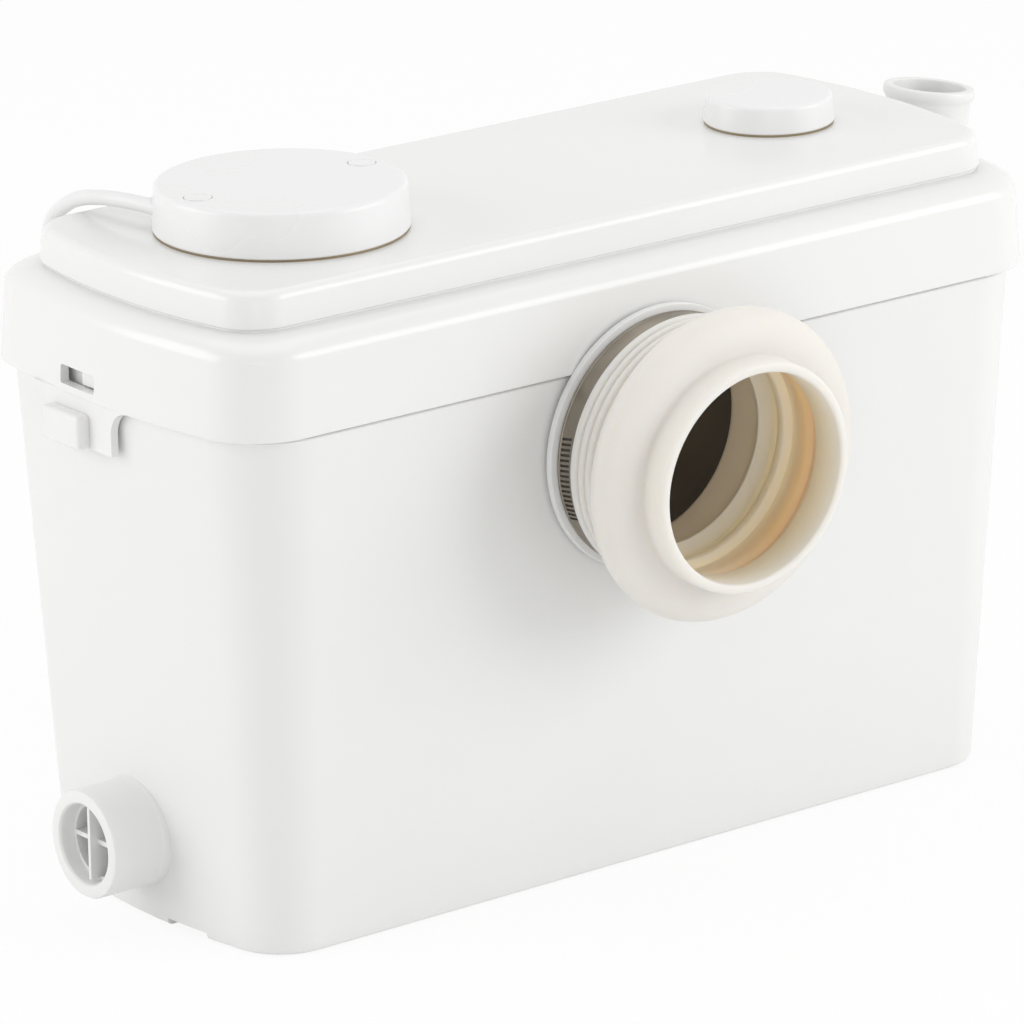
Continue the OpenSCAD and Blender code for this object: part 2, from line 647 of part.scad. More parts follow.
module outlet_flap() {
    color([0.09, 0.08, 0.07]) difference() {
        union() {
            difference() {
                along_x(out_wall_x + gap, out_y, out_z) cylinder(r = check_r, h = check_t);
                translate([out_wall_x - 1, out_y - 20, out_z + check_pin_z]) cube([6, 40, 20]);
            }
            along_y(check_pin_x, out_y - 3.5, out_z + check_pin_z) cylinder(r = 1.6, h = 7);
        }
        along_y(check_pin_x, out_y - 20, out_z + check_pin_z) cylinder(r = check_pin_r + run, h = 40);
    }
}
module outlet_flap_pin() {
    color([0.7, 0.7, 0.72]) along_y(check_pin_x, out_y - 10.5, out_z + check_pin_z)
        cylinder(r = check_pin_r, h = 21);
}

// Elbow that turns on the outlet spigot, in its own frame with the leg upright
module on_outlet() {
    translate([0, out_y, out_z]) children();
}
module bend(r) {
    translate([bend_x, 0, bend_r]) rotate([90, 0, 0]) rotate([0, 0, -90])
        rotate_extrude(angle = 90 - leg_lean)
        translate([bend_r, 0]) circle(r = r);
}
module on_leg(h) {
    translate([bend_x, 0, bend_r]) rotate([0, leg_lean, 0]) translate([bend_r, 0, h - bend_r]) children();
}
module discharge_elbow() {
    r0 = leg_bore + 1.5;
    r1 = leg_bore + 2.8;
    ri = leg_bore - 1.5;
    color([0.94, 0.94, 0.93]) on_outlet() difference() {
        union() {
            along_x(elbow_x, 0, 0) cylinder(r = socket_r, h = out_end - elbow_x + 2);
            along_x(out_end, 0, 0) cylinder(r = r0, h = bend_x - out_end + 0.01);
            bend(r0);
            on_leg(bend_r) rotate_extrude() polygon([[0, -0.5], [r0 + 0.15, -0.5], [r0, leg_h - bend_r - 40],
                [r1, leg_h - bend_r - 6], [bead_r, leg_h - bend_r - 4.4], [bead_r, leg_h - bend_r - 0.8],
                [bead_r - 0.8, leg_h - bend_r], [0, leg_h - bend_r]]);
        }
        along_x(elbow_x - 1, 0, 0) cylinder(r = out_r + run, h = out_end - elbow_x + 1.4);
        along_x(out_end, 0, 0) cylinder(r = ri, h = bend_x - out_end + 0.01);
        bend(ri);
        on_leg(bend_r - 0.5) cylinder(r = ri + 0.15, h = leg_h);
        on_leg(leg_h - 24) cylinder(r = leg_bore, h = 30);
    }
}
module elbow_clip_band() {
    color([0.62, 0.6, 0.57]) on_outlet() along_x(elbow_x + 3, 0, 0) tube(socket_r + band_t,
        socket_r + run, band_w);
}
module on_elbow_clip() {
    on_outlet() translate([elbow_x + 3 + band_w / 2, 0, 0]) rotate([-60, 0, 0])
        translate([0, 0, -socket_r - band_t - 0.3]) children();
}
module elbow_clip_housing() {
    color([0.62, 0.6, 0.57]) on_elbow_clip() difference() {
        translate([-5, -6, -8]) cube([10, 12, 8]);
        translate([0, -7, -4.4]) rotate([-90, 0, 0]) cylinder(r = 3, h = 14);
    }
}
module elbow_clip_screw() {
    color([0.7, 0.69, 0.66]) on_elbow_clip() translate([0, 0, -4.4]) rotate([-90, 0, 0]) {
        translate([0, 0, -8]) cylinder(r = 2.8, h = 15);
        translate([0, 0, 7]) cylinder(r = 3.8, h = 5, $fn = 6);
    }
}

module motor_can() {
    h = can_top - seat_top;
    color([0.3, 0.31, 0.33]) difference() {
        on_motor(seat_top) rotate_extrude() polygon([[motor_r - can_t, 0], [motor_r, 0],
            [motor_r, lid_top - seat_top],
            [motor_r + 4, lid_top - seat_top], [motor_r + 4, h], [0, h], [0, h - 3],
                [bearing_r + run, h - 3],
            [bearing_r + run, h - 3 - bearing_h], [bearing_r + 3, h - 3 - bearing_h],
                [bearing_r + 3, h - 3],
            [motor_r - can_t, h - 3]]);
        for (s = [-1, 1])
            on_motor(lid_top - 6) translate([s * cap_screw_x, 0, 0]) cylinder(r = 2.05, h = 12);
    }
}
module motor_seat() {
    color([0.3, 0.31, 0.33]) on_motor(basket_top) difference() {
        cylinder(r = basket_r, h = seat_t);
        translate([0, 0, -1]) cylinder(r = shaft_r + 0.6, h = seat_t + 2);
        translate([0, 0, seat_t - bearing_h]) cylinder(r = bearing_r + run, h = bearing_h + 1);
        translate([0, 0, -1]) cylinder(r = shaft_r + 4 + run, h = 6);
    }
}
module stator() {
    color([0.5, 0.5, 0.52]) on_motor(stator_z) tube(motor_r - can_t - run, rotor_r + 0.5, stator_h);
}
module windings() {
    color([0.72, 0.42, 0.2]) for (z = [stator_z - 12, stator_z + stator_h])
        on_motor(z) tube(motor_r - can_t - 3, rotor_r + 3, 12);
}
module rotor() {
    color([0.6, 0.6, 0.62]) on_motor(stator_z) tube(rotor_r, shaft_r, stator_h);
}
module motor_shaft() {
    z0 = floor_t + 10;
    color([0.75, 0.75, 0.77]) on_motor(z0) cylinder(r = shaft_r, h = can_top - 3.5 - z0);
}
module upper_bearing() {
    color([0.75, 0.75, 0.77]) on_motor(can_top - 3 - bearing_h) tube(bearing_r, shaft_r + 0.03, bearing_h);
}
module lower_bearing() {
    color([0.75, 0.75, 0.77]) on_motor(seat_top - bearing_h) tube(bearing_r, shaft_r + 0.03, bearing_h);
}
module shaft_seal() {
    color([0.1, 0.1, 0.1]) on_motor(basket_top) tube(shaft_r + 4, shaft_r + 0.06, 5);
}
module terminal_block() {
    color([0.85, 0.82, 0.7]) on_motor(can_top) translate([-6, -22, 0]) cube([34, 16, 11]);
}
module cable_grip() {
    color([0.2, 0.2, 0.2]) translate([cord_x - 4.2, grip_y - 9, can_top]) cube([8.4, 9, 12]);
}

module pump_casing() {
    color([0.2, 0.2, 0.21]) on_motor(floor_t) difference() {
        union() {
            cylinder(r = pump_r, h = pump_h);
            along_x(0, out_y - motor_y, hose_z - floor_t) cylinder(r = stub_r, h = pump_r + 18);
        }
        translate([0, 0, 6]) cylinder(r = impeller_r + 5, h = 28);
        translate([0, 0, 6]) cylinder(r = eye_r, h = pump_h);
        along_x(0, out_y - motor_y, hose_z - floor_t) cylinder(r = out_seat, h = pump_r + 19);
    }
}
module impeller() {
    color([0.55, 0.55, 0.57]) on_motor(floor_t + 10) {
        tube(impeller_r, shaft_r, 3);
        tube(shaft_r + 5, shaft_r, 18);
        for (a = [0:60:300])
            rotate([0, 0, a]) translate([shaft_r + 4, -1.2, 2.5]) cube([impeller_r - shaft_r - 5, 2.4, 14]);
    }
}
module grinder_blade() {
    color([0.75, 0.75, 0.77]) on_motor(pump_top + 14) difference() {
        union() {
            cylinder(r = shaft_r + 7, h = 8);
            translate([-blade_l / 2, -9, 0]) cube([blade_l, 18, 4]);
        }
        translate([0, 0, -1]) cylinder(r = shaft_r, h = 10);
    }
}
module grinder_basket() {
    color([0.16, 0.16, 0.17]) on_motor(pump_top) difference() {
        cylinder(r = basket_r, h = basket_h);
        translate([0, 0, 3]) cylinder(r = basket_r - 3, h = basket_h);
        translate([0, 0, -1]) cylinder(r = eye_r + 1, h = 6);
        for (a = [0:15:165])
            rotate([0, 0, a + 7.5]) translate([-basket_r - 1, -3, 8]) cube([2 * basket_r + 2, 6,
                basket_h - 18]);
    }
}

// Inner hose from the pump to the outlet, along the floor and up
module hose_path(r, x0, x1) {
    x = stub_x - hose_bend;
    along_x(x0, out_y, hose_z) cylinder(r = r, h = x - hose_bend - x0);
    translate([x - hose_bend, out_y, hose_z + hose_bend]) rotate([90, 0, 0]) rotate([0, 0, -90])
        rotate_extrude(angle = 90) translate([hose_bend, 0]) circle(r = r);
    translate([x, out_y, hose_z + hose_bend]) cylinder(r = r, h = out_z - hose_z - 2 * hose_bend);
    translate([x + hose_bend, out_y, out_z - hose_bend]) rotate([90, 0, 0]) rotate([0, 0, 90])
        rotate_extrude(angle = 90) translate([hose_bend, 0]) circle(r = r);
    along_x(stub_x, out_y, out_z) cylinder(r = r, h = x1 - stub_x);
}
module inner_hose() {
    color([0.13, 0.13, 0.14]) difference() {
        hose_path(hose_r, hose_x0, hose_x1);
        hose_path(stub_r + run, hose_x0 - 1, hose_x1 + 1);
    }
}
module hose_clips() {
    color([0.62, 0.6, 0.57]) {
        along_x(hose_x0 + 3, out_y, hose_z) tube(hose_r + 1, hose_r + run, 8);
        along_x(hose_x1 - 11, out_y, out_z) tube(hose_r + 1, hose_r + run, 8);
    }
}

module on_switch(z) {
    translate([bell_x, bell_y, z]) children();
}
module pressure_bell() {
    color([0.86, 0.86, 0.85]) on_switch(16) tube(bell_r, bell_r - 2.4, switch_z - 16);
}
module diaphragm_housing() {
    color([0.86, 0.86, 0.85]) on_switch(switch_z) {
        difference() {
            cylinder(r = switch_r, h = 13);
            translate([0, 0, -1]) cylinder(r = bell_r - 3, h = 5);
            translate([0, 0, 2]) cylinder(r = switch_r - 2, h = 9);
            cylinder(r = plunger_r + run, h = 14);
        }
        for (s = [-1, 1])
            translate([s * (switch_r - 4), 0, 12]) cylinder(r = 3, h = lid_under - switch_z - 12);
    }
}
module diaphragm() {
    color([0.1, 0.1, 0.1]) on_switch(switch_z + 2) cylinder(r = switch_r - 2 - run, h = 1.2);
}
module switch_plunger() {
    color([0.8, 0.3, 0.2]) on_switch(switch_z + 3.5) {
        cylinder(r = 7, h = 1.5);
        cylinder(r = plunger_r, h = 12.5);
    }
}
module microswitch() {
    z = switch_z + 16 + plunger_travel + gap;
    color([0.15, 0.15, 0.16]) on_switch(z) translate([-10, -6, 0]) cube([20, 12, lid_under - z]);
}

module power_cable() {
    color([0.92, 0.92, 0.92]) swept(smooth_route(cable_route, 3), cord_r, 10);
}
module cable_coil() {
    color([0.92, 0.92, 0.92]) swept(coil_points, cord_r, 6);
}
module cable_tail() {
    color([0.92, 0.92, 0.92]) swept(smooth_route(tail_route, 3), cord_r, 10);
}
module cable_tie() {
    w = coil_step * coil_flip + cord_d + 1.4;
    h = coil_lift + cord_d + 1.4;
    color([0.9, 0.9, 0.9]) translate([coil_x + coil_r + cord_r + 0.7 - w, coil_y - 2,
        cord_z - cord_r - 0.7])
        difference() {
            translate([-1, 0, -0.8]) cube([w + 2, 4, h + 1.6]);
            translate([0, -1, 0]) cube([w, 6, h]);
        }
}
module mains_plug() {
    color([0.93, 0.93, 0.93]) along_x(mains_x, coil_y + coil_r, mains_r + 0.5) rotate([0, 180, 0])
        rotate_extrude()
        polygon([[0, 0], [5.5, 0], [7, 12], [mains_r - 2, 16], [mains_r, 18.5], [mains_r, mains_l],
            [0, mains_l]]);
}
module mains_pins() {
    color([0.8, 0.8, 0.82]) for (s = [-1, 1])
        along_x(mains_x - mains_l - 19, coil_y + coil_r + s * 9.5, mains_r + 0.5) cylinder(r = 2.4, h = 19);
}

tank();
lid();
lid_seal();
lid_latches();
motor_cap();
motor_cap_plugs();
motor_cap_screws();
motor_cap_gasket();
vent_cap();
vent_gasket();
carbon_filter();
pan_spigot();
pan_sleeve();
sleeve_clip_band();
sleeve_clip_housing();
sleeve_clip_screw();
pan_flap();
pan_flap_pin();
side_inlet_cage();
side_inlet_flap();
side_inlet_flap_pin();
outlet_flap();
outlet_flap_pin();
discharge_elbow();
elbow_clip_band();
elbow_clip_housing();
elbow_clip_screw();
motor_can();
motor_seat();
stator();
windings();
rotor();
motor_shaft();
upper_bearing();
lower_bearing();
shaft_seal();
terminal_block();
cable_grip();
pump_casing();
impeller();
grinder_blade();
grinder_basket();
inner_hose();
hose_clips();
pressure_bell();
diaphragm_housing();
diaphragm();
switch_plunger();
microswitch();
power_cable();
cable_coil();
cable_tail();
cable_tie();
mains_plug();
mains_pins();
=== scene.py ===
import json
import math

import bmesh
import bpy
from mathutils import Matrix, Vector


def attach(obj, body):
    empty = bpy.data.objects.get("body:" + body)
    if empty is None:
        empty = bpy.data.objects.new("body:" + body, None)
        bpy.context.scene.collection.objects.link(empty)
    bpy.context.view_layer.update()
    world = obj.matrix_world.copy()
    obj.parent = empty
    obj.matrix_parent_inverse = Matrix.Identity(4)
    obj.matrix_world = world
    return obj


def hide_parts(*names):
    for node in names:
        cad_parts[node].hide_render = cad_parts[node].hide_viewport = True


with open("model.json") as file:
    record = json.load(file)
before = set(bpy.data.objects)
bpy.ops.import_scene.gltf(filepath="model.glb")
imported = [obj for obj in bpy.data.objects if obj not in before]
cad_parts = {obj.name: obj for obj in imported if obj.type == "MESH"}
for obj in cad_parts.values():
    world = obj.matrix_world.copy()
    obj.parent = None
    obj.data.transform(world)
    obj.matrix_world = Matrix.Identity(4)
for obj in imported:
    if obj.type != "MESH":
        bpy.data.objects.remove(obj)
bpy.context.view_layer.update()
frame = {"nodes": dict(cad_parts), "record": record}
nodes = frame["nodes"]
mm = 0.001
quarter = math.pi / 2
print("frame loaded")

# camera at the photograph's angle
view = dict(lens=259.53, place=(-1832.4, -2358.8, 1084.9), azimuth=-37.75, elevation=17.67,
            roll=-0.85, reach=20)


def addCamera():
    a, e, t = (math.radians(view[k]) for k in ("azimuth", "elevation", "roll"))
    back = Vector((math.sin(a) * math.cos(e), -math.cos(a) * math.cos(e), math.sin(e)))
    right = Vector((0, 0, 1)).cross(back).normalized()
    up = back.cross(right)
    across = right * math.cos(t) + up * math.sin(t)
    upward = up * math.cos(t) - right * math.sin(t)
    bpy.ops.object.camera_add()
    cam = bpy.context.object
    cam.matrix_world = Matrix((across, upward, back)).transposed().to_4x4()
    cam.location = Vector(view["place"]) * mm
    cam.data.lens = view["lens"]
    cam.data.sensor_fit = "HORIZONTAL"
    cam.data.clip_end = view["reach"]
    bpy.context.scene.camera = cam


addCamera()
print("camera placed")

# one mottled grain that every finish shares, with its own scale in each
grain = dict(details=(("Cloud", 3.0), ("Grain", 2.0)), depth=0.00005, low=0.2, high=0.8,
             bleedRadius=(0.012, 0.0095, 0.006))


def makeGrain():
    group = bpy.data.node_groups.new("mouldedGrain", "ShaderNodeTree")
    sockets = group.interface
    for name, detail in grain["details"]:
        sockets.new_socket(name + " Scale", in_out="INPUT", socket_type="NodeSocketFloat")
    for name, detail in grain["details"]:
        sockets.new_socket(name, in_out="OUTPUT", socket_type="NodeSocketFloat")
    enter = group.nodes.new("NodeGroupInput")
    leave = group.nodes.new("NodeGroupOutput")
    place = group.nodes.new("ShaderNodeTexCoord")
    for name, detail in grain["details"]:
        noise = group.nodes.new("ShaderNodeTexNoise")
        noise.inputs["Detail"].default_value = detail
        group.links.new(place.outputs["Object"], noise.inputs["Vector"])
        group.links.new(enter.outputs[name + " Scale"], noise.inputs["Scale"])
        group.links.new(noise.outputs["Fac"], leave.inputs[name])
    return group


grainGroup = makeGrain()


# painted light: by the vertex mask, the red channel lays a warm painted light over the inside faces
# and the green channel an amber painted glow
def addPaintedLight(tree, colour, paintedLight):  # inside faces carry a painted mask
    paint = tree.nodes.new("ShaderNodeVertexColor")
    paint.layer_name = "paintedLight"
    parts = tree.nodes.new("ShaderNodeSeparateColor")
    tree.links.new(paint.outputs["Color"], parts.inputs["Color"])
    for channel, shade in zip(("Red", "Green"), paintedLight):
        mix = tree.nodes.new("ShaderNodeMix")
        mix.data_type = "RGBA"
        factor, first, second = mix.inputs[0], mix.inputs[6], mix.inputs[7]
        second.default_value = (*shade, 1)
        tree.links.new(parts.outputs[channel], factor)
        tree.links.new(colour, first)
        colour = mix.outputs[2]
    return colour


# scales are per metre, rough is the range of roughness
def makeFinish(name, light, dark, rough, cloudScale, grainScale, bump,
               metal=0.0, bleed=0.0, paintedLight=None):
    mat = bpy.data.materials.new(name)
    mat.use_nodes = True
    tree = mat.node_tree
    shader = tree.nodes["Principled BSDF"]
    shader.inputs["Metallic"].default_value = metal
    if bleed:
        shader.inputs["Subsurface Weight"].default_value = bleed
        shader.inputs["Subsurface Radius"].default_value = grain["bleedRadius"]
        shader.inputs["Subsurface Scale"].default_value = 1.0
    noise = tree.nodes.new("ShaderNodeGroup")
    noise.node_tree = grainGroup
    noise.inputs["Cloud Scale"].default_value = cloudScale
    noise.inputs["Grain Scale"].default_value = grainScale
    ramp = tree.nodes.new("ShaderNodeValToRGB")
    ramp.color_ramp.interpolation = "EASE"
    stops = zip(ramp.color_ramp.elements, ("low", "high"), (dark, light))
    for stop, place, shade in stops:
        stop.position = grain[place]
        stop.color = (*shade, 1)
    tree.links.new(noise.outputs["Cloud"], ramp.inputs["Fac"])
    colour = ramp.outputs["Color"]
    # the colours given here are painted light: a warm light and an amber glow laid over the inside
    # faces
    if paintedLight:
        colour = addPaintedLight(tree, colour, paintedLight)
    tree.links.new(colour, shader.inputs["Base Color"])
    gloss = tree.nodes.new("ShaderNodeMapRange")
    gloss.inputs["To Min"].default_value, gloss.inputs["To Max"].default_value = rough
    tree.links.new(noise.outputs["Cloud"], gloss.inputs["Value"])
    tree.links.new(gloss.outputs["Result"], shader.inputs["Roughness"])
    relief = tree.nodes.new("ShaderNodeBump")
    relief.inputs["Strength"].default_value = bump
    relief.inputs["Distance"].default_value = grain["depth"]
    tree.links.new(noise.outputs["Grain"], relief.inputs["Height"])
    tree.links.new(relief.outputs["Normal"], shader.inputs["Normal"])
    return mat


tankWhite = ((0.80, 0.80, 0.79), (0.785, 0.785, 0.772), (0.34, 0.42), 9, 1400, 0.15)
# warm painted light for the inside of the spigot's bore, standing in for light coming through the
# rubber
spigotPaintedLight = (0.95, 0.84, 0.66)
finishes = dict(
    white_plastic=makeFinish("tankPlastic", *tankWhite),
    lid_plastic=makeFinish(
        "lidPlastic", (0.81, 0.81, 0.80), (0.80, 0.80, 0.788), (0.16, 0.22), 9, 1400, 0.06),
    cap_plastic=makeFinish(
        "capPlastic", (0.82, 0.82, 0.82), (0.805, 0.805, 0.80), (0.24, 0.32), 14, 1600, 0.12),
    cream_rubber=makeFinish(
        "sleeveRubber", (0.765, 0.745, 0.71), (0.745, 0.722, 0.682), (0.48, 0.6), 22, 1100, 0.3,
        # the two colours below are painted light for the inside of the sleeve: a warm painted light
        # and an amber painted glow
        bleed=0.55, paintedLight=((0.92, 0.81, 0.64), (0.95, 0.7, 0.36))),
    dark_rubber=makeFinish(
        "flapRubber", (0.042, 0.036, 0.028), (0.03, 0.025, 0.02), (0.35, 0.5), 30, 1300, 0.3),
    clip_steel=makeFinish(
        "clipSteel", (0.33, 0.295, 0.245), (0.25, 0.22, 0.18), (0.3, 0.42), 60, 2200, 0.2,
        metal=1.0),
    pin_steel=makeFinish(
        "groundSteel", (0.62, 0.62, 0.62), (0.5, 0.5, 0.51), (0.22, 0.36), 70, 2200, 0.2,
        metal=1.0),
    copper=makeFinish(
        "windingCopper", (0.6, 0.3, 0.13), (0.42, 0.19, 0.08), (0.3, 0.45), 140, 1500, 0.4,
        metal=1.0),
    motor_metal=makeFinish(
        "castAluminium", (0.34, 0.35, 0.37), (0.25, 0.26, 0.28), (0.42, 0.6), 40, 700, 0.5,
        metal=1.0),
    black_plastic=makeFinish(
        "blackPlastic", (0.04, 0.04, 0.042), (0.027, 0.027, 0.029), (0.4, 0.55), 25, 1200, 0.3),
    switch_plastic=makeFinish(
        "switchPlastic", (0.7, 0.7, 0.68), (0.62, 0.62, 0.6), (0.38, 0.48), 20, 1200, 0.2),
    cord_plastic=makeFinish(
        "cordSheath", (0.80, 0.80, 0.80), (0.765, 0.765, 0.76), (0.32, 0.42), 30, 1200, 0.2),
    plug_pins=makeFinish(
        "platedPins", (0.72, 0.71, 0.69), (0.62, 0.61, 0.58), (0.14, 0.24), 80, 2000, 0.1,
        metal=1.0),
)
for sub in frame["record"]["subparts"]:
    nodes[sub["node"]].material_slots[0].material = finishes[sub["material_slot"]]
gasketRubber = makeFinish(
    "gasketRubber", (0.30, 0.235, 0.14), (0.22, 0.17, 0.10), (0.4, 0.55), 30, 1300, 0.3)
# tank white with the warm painted light on the bore faces
spigotPlastic = makeFinish("spigotPlastic", *tankWhite, paintedLight=(spigotPaintedLight, spigotPaintedLight))
print("finishes made", len(finishes))

# hand tools shared by the pieces, all sizes in millimetres
sides = dict(plug=48, tube=64, inlet=96, large=128, band=160)
tool = dict(cornerCuts=12, longCuts=11, endCuts=19, softCuts=3,
            near=0.001, touch=1e-6, merge=0.000002)


def clearAll():
    if bpy.context.mode != "OBJECT":
        bpy.ops.object.mode_set(mode="OBJECT")
    bpy.ops.object.select_all(action="DESELECT")


def pickOut(obj):
    clearAll()
    obj.select_set(True)
    bpy.context.view_layer.objects.active = obj


def moved(x, y, z):
    return Matrix.Translation(Vector((x, y, z)) * mm)


def alongX(x, y, z):
    return moved(x, y, z) @ Matrix.Rotation(quarter, 4, "Y")


def pickEdges(obj, rule):
    mesh = bmesh.from_edit_mesh(obj.data)
    for edge in mesh.edges:
        edge.select_set(rule(edge))
    bmesh.update_edit_mesh(obj.data)


def isOpen(edge):
    return edge.is_boundary


# plate with rounded corners and bowed ends
def startPlate(name, half, corner, bow, z, fill):
    w, d = half
    e = (d * d + bow * bow) / (2 * bow)  # radius of the bowed ends
    yc = d - corner
    xc = w - e + math.sqrt((e - corner) ** 2 - yc * yc)
    a = math.atan2(yc, xc - w + e)
    clearAll()
    bpy.ops.mesh.primitive_plane_add(size=2)
    obj = bpy.context.object
    obj.name = name
    bpy.ops.object.mode_set(mode="EDIT")
    bpy.ops.transform.resize(value=((xc + corner) * mm, d * mm, 1), center_override=(0, 0, 0))
    bpy.ops.transform.translate(value=(0, 0, z * mm))
    bpy.ops.mesh.bevel(offset=corner * mm, segments=tool["cornerCuts"], affect="VERTICES")
    bpy.ops.mesh.select_mode(type="EDGE")
    bpy.ops.mesh.select_all(action="SELECT")
    bpy.ops.mesh.delete(type="ONLY_FACE")
    for axis, reach, cuts in ((0, xc + corner, tool["longCuts"]), (1, d, tool["endCuts"])):
        limit = (reach - tool["near"]) * mm
        pickEdges(obj, lambda edge: all(abs(v.co[axis]) > limit for v in edge.verts))
        bpy.ops.mesh.subdivide(number_cuts=cuts)
    mesh = bmesh.from_edit_mesh(obj.data)
    for v in mesh.verts:
        x, y = abs(v.co.x) / mm, abs(v.co.y) / mm
        if x < xc + tool["near"]:
            continue
        if y < yc - tool["near"]:  # along the bowed end
            y *= (yc + corner * math.sin(a)) / yc
            x = w - e + math.sqrt(e * e - y * y)
        else:  # round the corner
            t = a + (quarter - a) * math.atan2(y - yc, x - xc) / quarter
            x, y = xc + corner * math.cos(t), yc + corner * math.sin(t)
        v.co.x = math.copysign(x * mm, v.co.x)
        v.co.y = math.copysign(y * mm, v.co.y)
    bmesh.update_edit_mesh(obj.data)
    bpy.ops.mesh.select_all(action="SELECT")
    if fill:
        bpy.ops.mesh.edge_face_add()
    return obj


def startRound(name, radius, z, count):
    clearAll()
    bpy.ops.mesh.primitive_circle_add(vertices=count, radius=radius * mm, location=(0, 0, 0))
    obj = bpy.context.object
    obj.name = name
    bpy.ops.object.mode_set(mode="EDIT")
    bpy.ops.transform.translate(value=(0, 0, z * mm))
    bpy.ops.mesh.select_mode(type="EDGE")
    return obj


# each step pulls the open edge to a new width, depth and height
def pull(size, steps):
    w, d, z = size
    for w2, d2, z2 in steps:
        bpy.ops.mesh.extrude_edges_move(TRANSFORM_OT_translate={"value": (0, 0, (z2 - z) * mm)})
        bpy.ops.transform.resize(value=(w2 / w, d2 / d, 1), center_override=(0, 0, 0))
        w, d, z = w2, d2, z2


def turned(name, profile, count, closed=True):
    r, z = profile[0]
    obj = startRound(name, r, z, count)
    pull((r, r, z), [(r2, r2, z2) for r2, z2 in profile[1:]])
    if closed:
        bpy.ops.mesh.select_all(action="SELECT")
        bpy.ops.mesh.remove_doubles(threshold=tool["merge"])
        bpy.ops.mesh.normals_make_consistent(inside=False)
    return obj


def disc(inset=0):
    bpy.ops.mesh.edge_face_add()
    if inset:
        bpy.ops.mesh.select_mode(type="FACE")
        bpy.ops.mesh.inset(thickness=inset * mm)
        bpy.ops.mesh.select_mode(type="EDGE")


def joinPieces(kept, *others):
    pickOut(kept)
    for piece in others:
        piece.select_set(True)
    bpy.ops.object.join()


def joinLoops(first, kept, cuts):
    joinPieces(kept, first)
    bpy.ops.object.mode_set(mode="EDIT")
    bpy.ops.mesh.select_mode(type="EDGE")
    pickEdges(kept, lambda edge: edge.is_boundary or edge.is_wire)
    bpy.ops.mesh.bridge_edge_loops(number_cuts=cuts, interpolation="LINEAR")


def settle(obj, angle):
    pickOut(obj)
    bpy.ops.object.shade_smooth_by_angle(angle=math.radians(angle))
    weigh = obj.modifiers.new("weigh", "WEIGHTED_NORMAL")
    weigh.keep_sharp = True
    bpy.ops.object.modifier_apply(modifier=weigh.name)


def seal(angle=38):  # works on the piece in hand
    bpy.ops.mesh.select_all(action="SELECT")
    bpy.ops.mesh.normals_make_consistent(inside=False)
    bpy.ops.object.mode_set(mode="OBJECT")
    bpy.ops.object.shade_smooth_by_angle(angle=math.radians(angle))


def setDown(obj, matrix):
    pickOut(obj)
    obj.matrix_world = matrix
    bpy.ops.object.transform_apply(location=True, rotation=True, scale=True)


def cut(obj, cutter):
    pickOut(obj)
    saw = obj.modifiers.new("cut", "BOOLEAN")
    saw.operation = "DIFFERENCE"
    saw.solver = "EXACT"
    saw.object = cutter
    bpy.ops.object.modifier_apply(modifier=saw.name)
    bpy.data.objects.remove(cutter)


def finishPiece(obj, body, slotName, *stoodFor):
    obj.data.materials.clear()
    obj.data.materials.append(finishes[slotName])
    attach(obj, body)
    if stoodFor:
        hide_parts(*stoodFor)
    clearAll()


def rod(name, radius, length, matrix):
    obj = turned(name, [(radius, 0), (radius, length)], sides["tube"], closed=False)
    disc()
    pickEdges(obj, lambda edge: all(abs(v.co.z) < tool["touch"] for v in edge.verts))
    disc()
    seal()
    setDown(obj, matrix)
    return obj


def block(name, low, high, soften=0.0):
    clearAll()
    bpy.ops.mesh.primitive_cube_add(size=1)
    obj = bpy.context.object
    obj.name = name
    bpy.ops.object.mode_set(mode="EDIT")
    spans = list(zip(low, high))
    bpy.ops.transform.resize(value=[(b - a) * mm for a, b in spans], center_override=(0, 0, 0))
    bpy.ops.transform.translate(value=[(a + b) / 2 * mm for a, b in spans])
    if soften:
        bpy.ops.mesh.bevel(offset=soften * mm, segments=tool["softCuts"], affect="EDGES")
    seal()
    return obj


# tank, with the places of its three ports
tank = dict(base=(201.2, 80.4), baseCorner=26.0, brim=(214.0, 92.7), brimCorner=34.0,
            rim=(212.2, 89.4), bow=10.0, height=224.4, wall=3.5, footInset=2.0, brimZ=222.8,
            ledgeZ=223.4, rimZ=250.0, wallRings=27,
            notch=((-206, -40.5, -1), (-194, -16, 3)), notchSoften=0.4)
pan = dict(x=-3.0, z=190.0, boss=52.5, hole=50.6)
ports = dict(side=(-230, 1.6, 37.2), sideHole=22.0, out=(0, 34.4, 178), outHole=13.5)
panRun = tank["brim"][1] - tank["base"][1]
panDraft = math.atan(panRun / tank["height"])
panY = -(tank["base"][1] + panRun * pan["z"] / tank["height"])
panFrame = moved(pan["x"], panY, pan["z"]) @ Matrix.Rotation(quarter + panDraft, 4, "X")
sideFrame = alongX(*ports["side"])
outFrame = alongX(*ports["out"])


def tankAt(z, inset):
    t = z / tank["height"]
    return tuple(a + (b - a) * t - inset for a, b in zip(tank["base"], tank["brim"])) + (z,)


def rimAt(z, inset):
    return tuple(a - inset for a in tank["rim"]) + (z,)


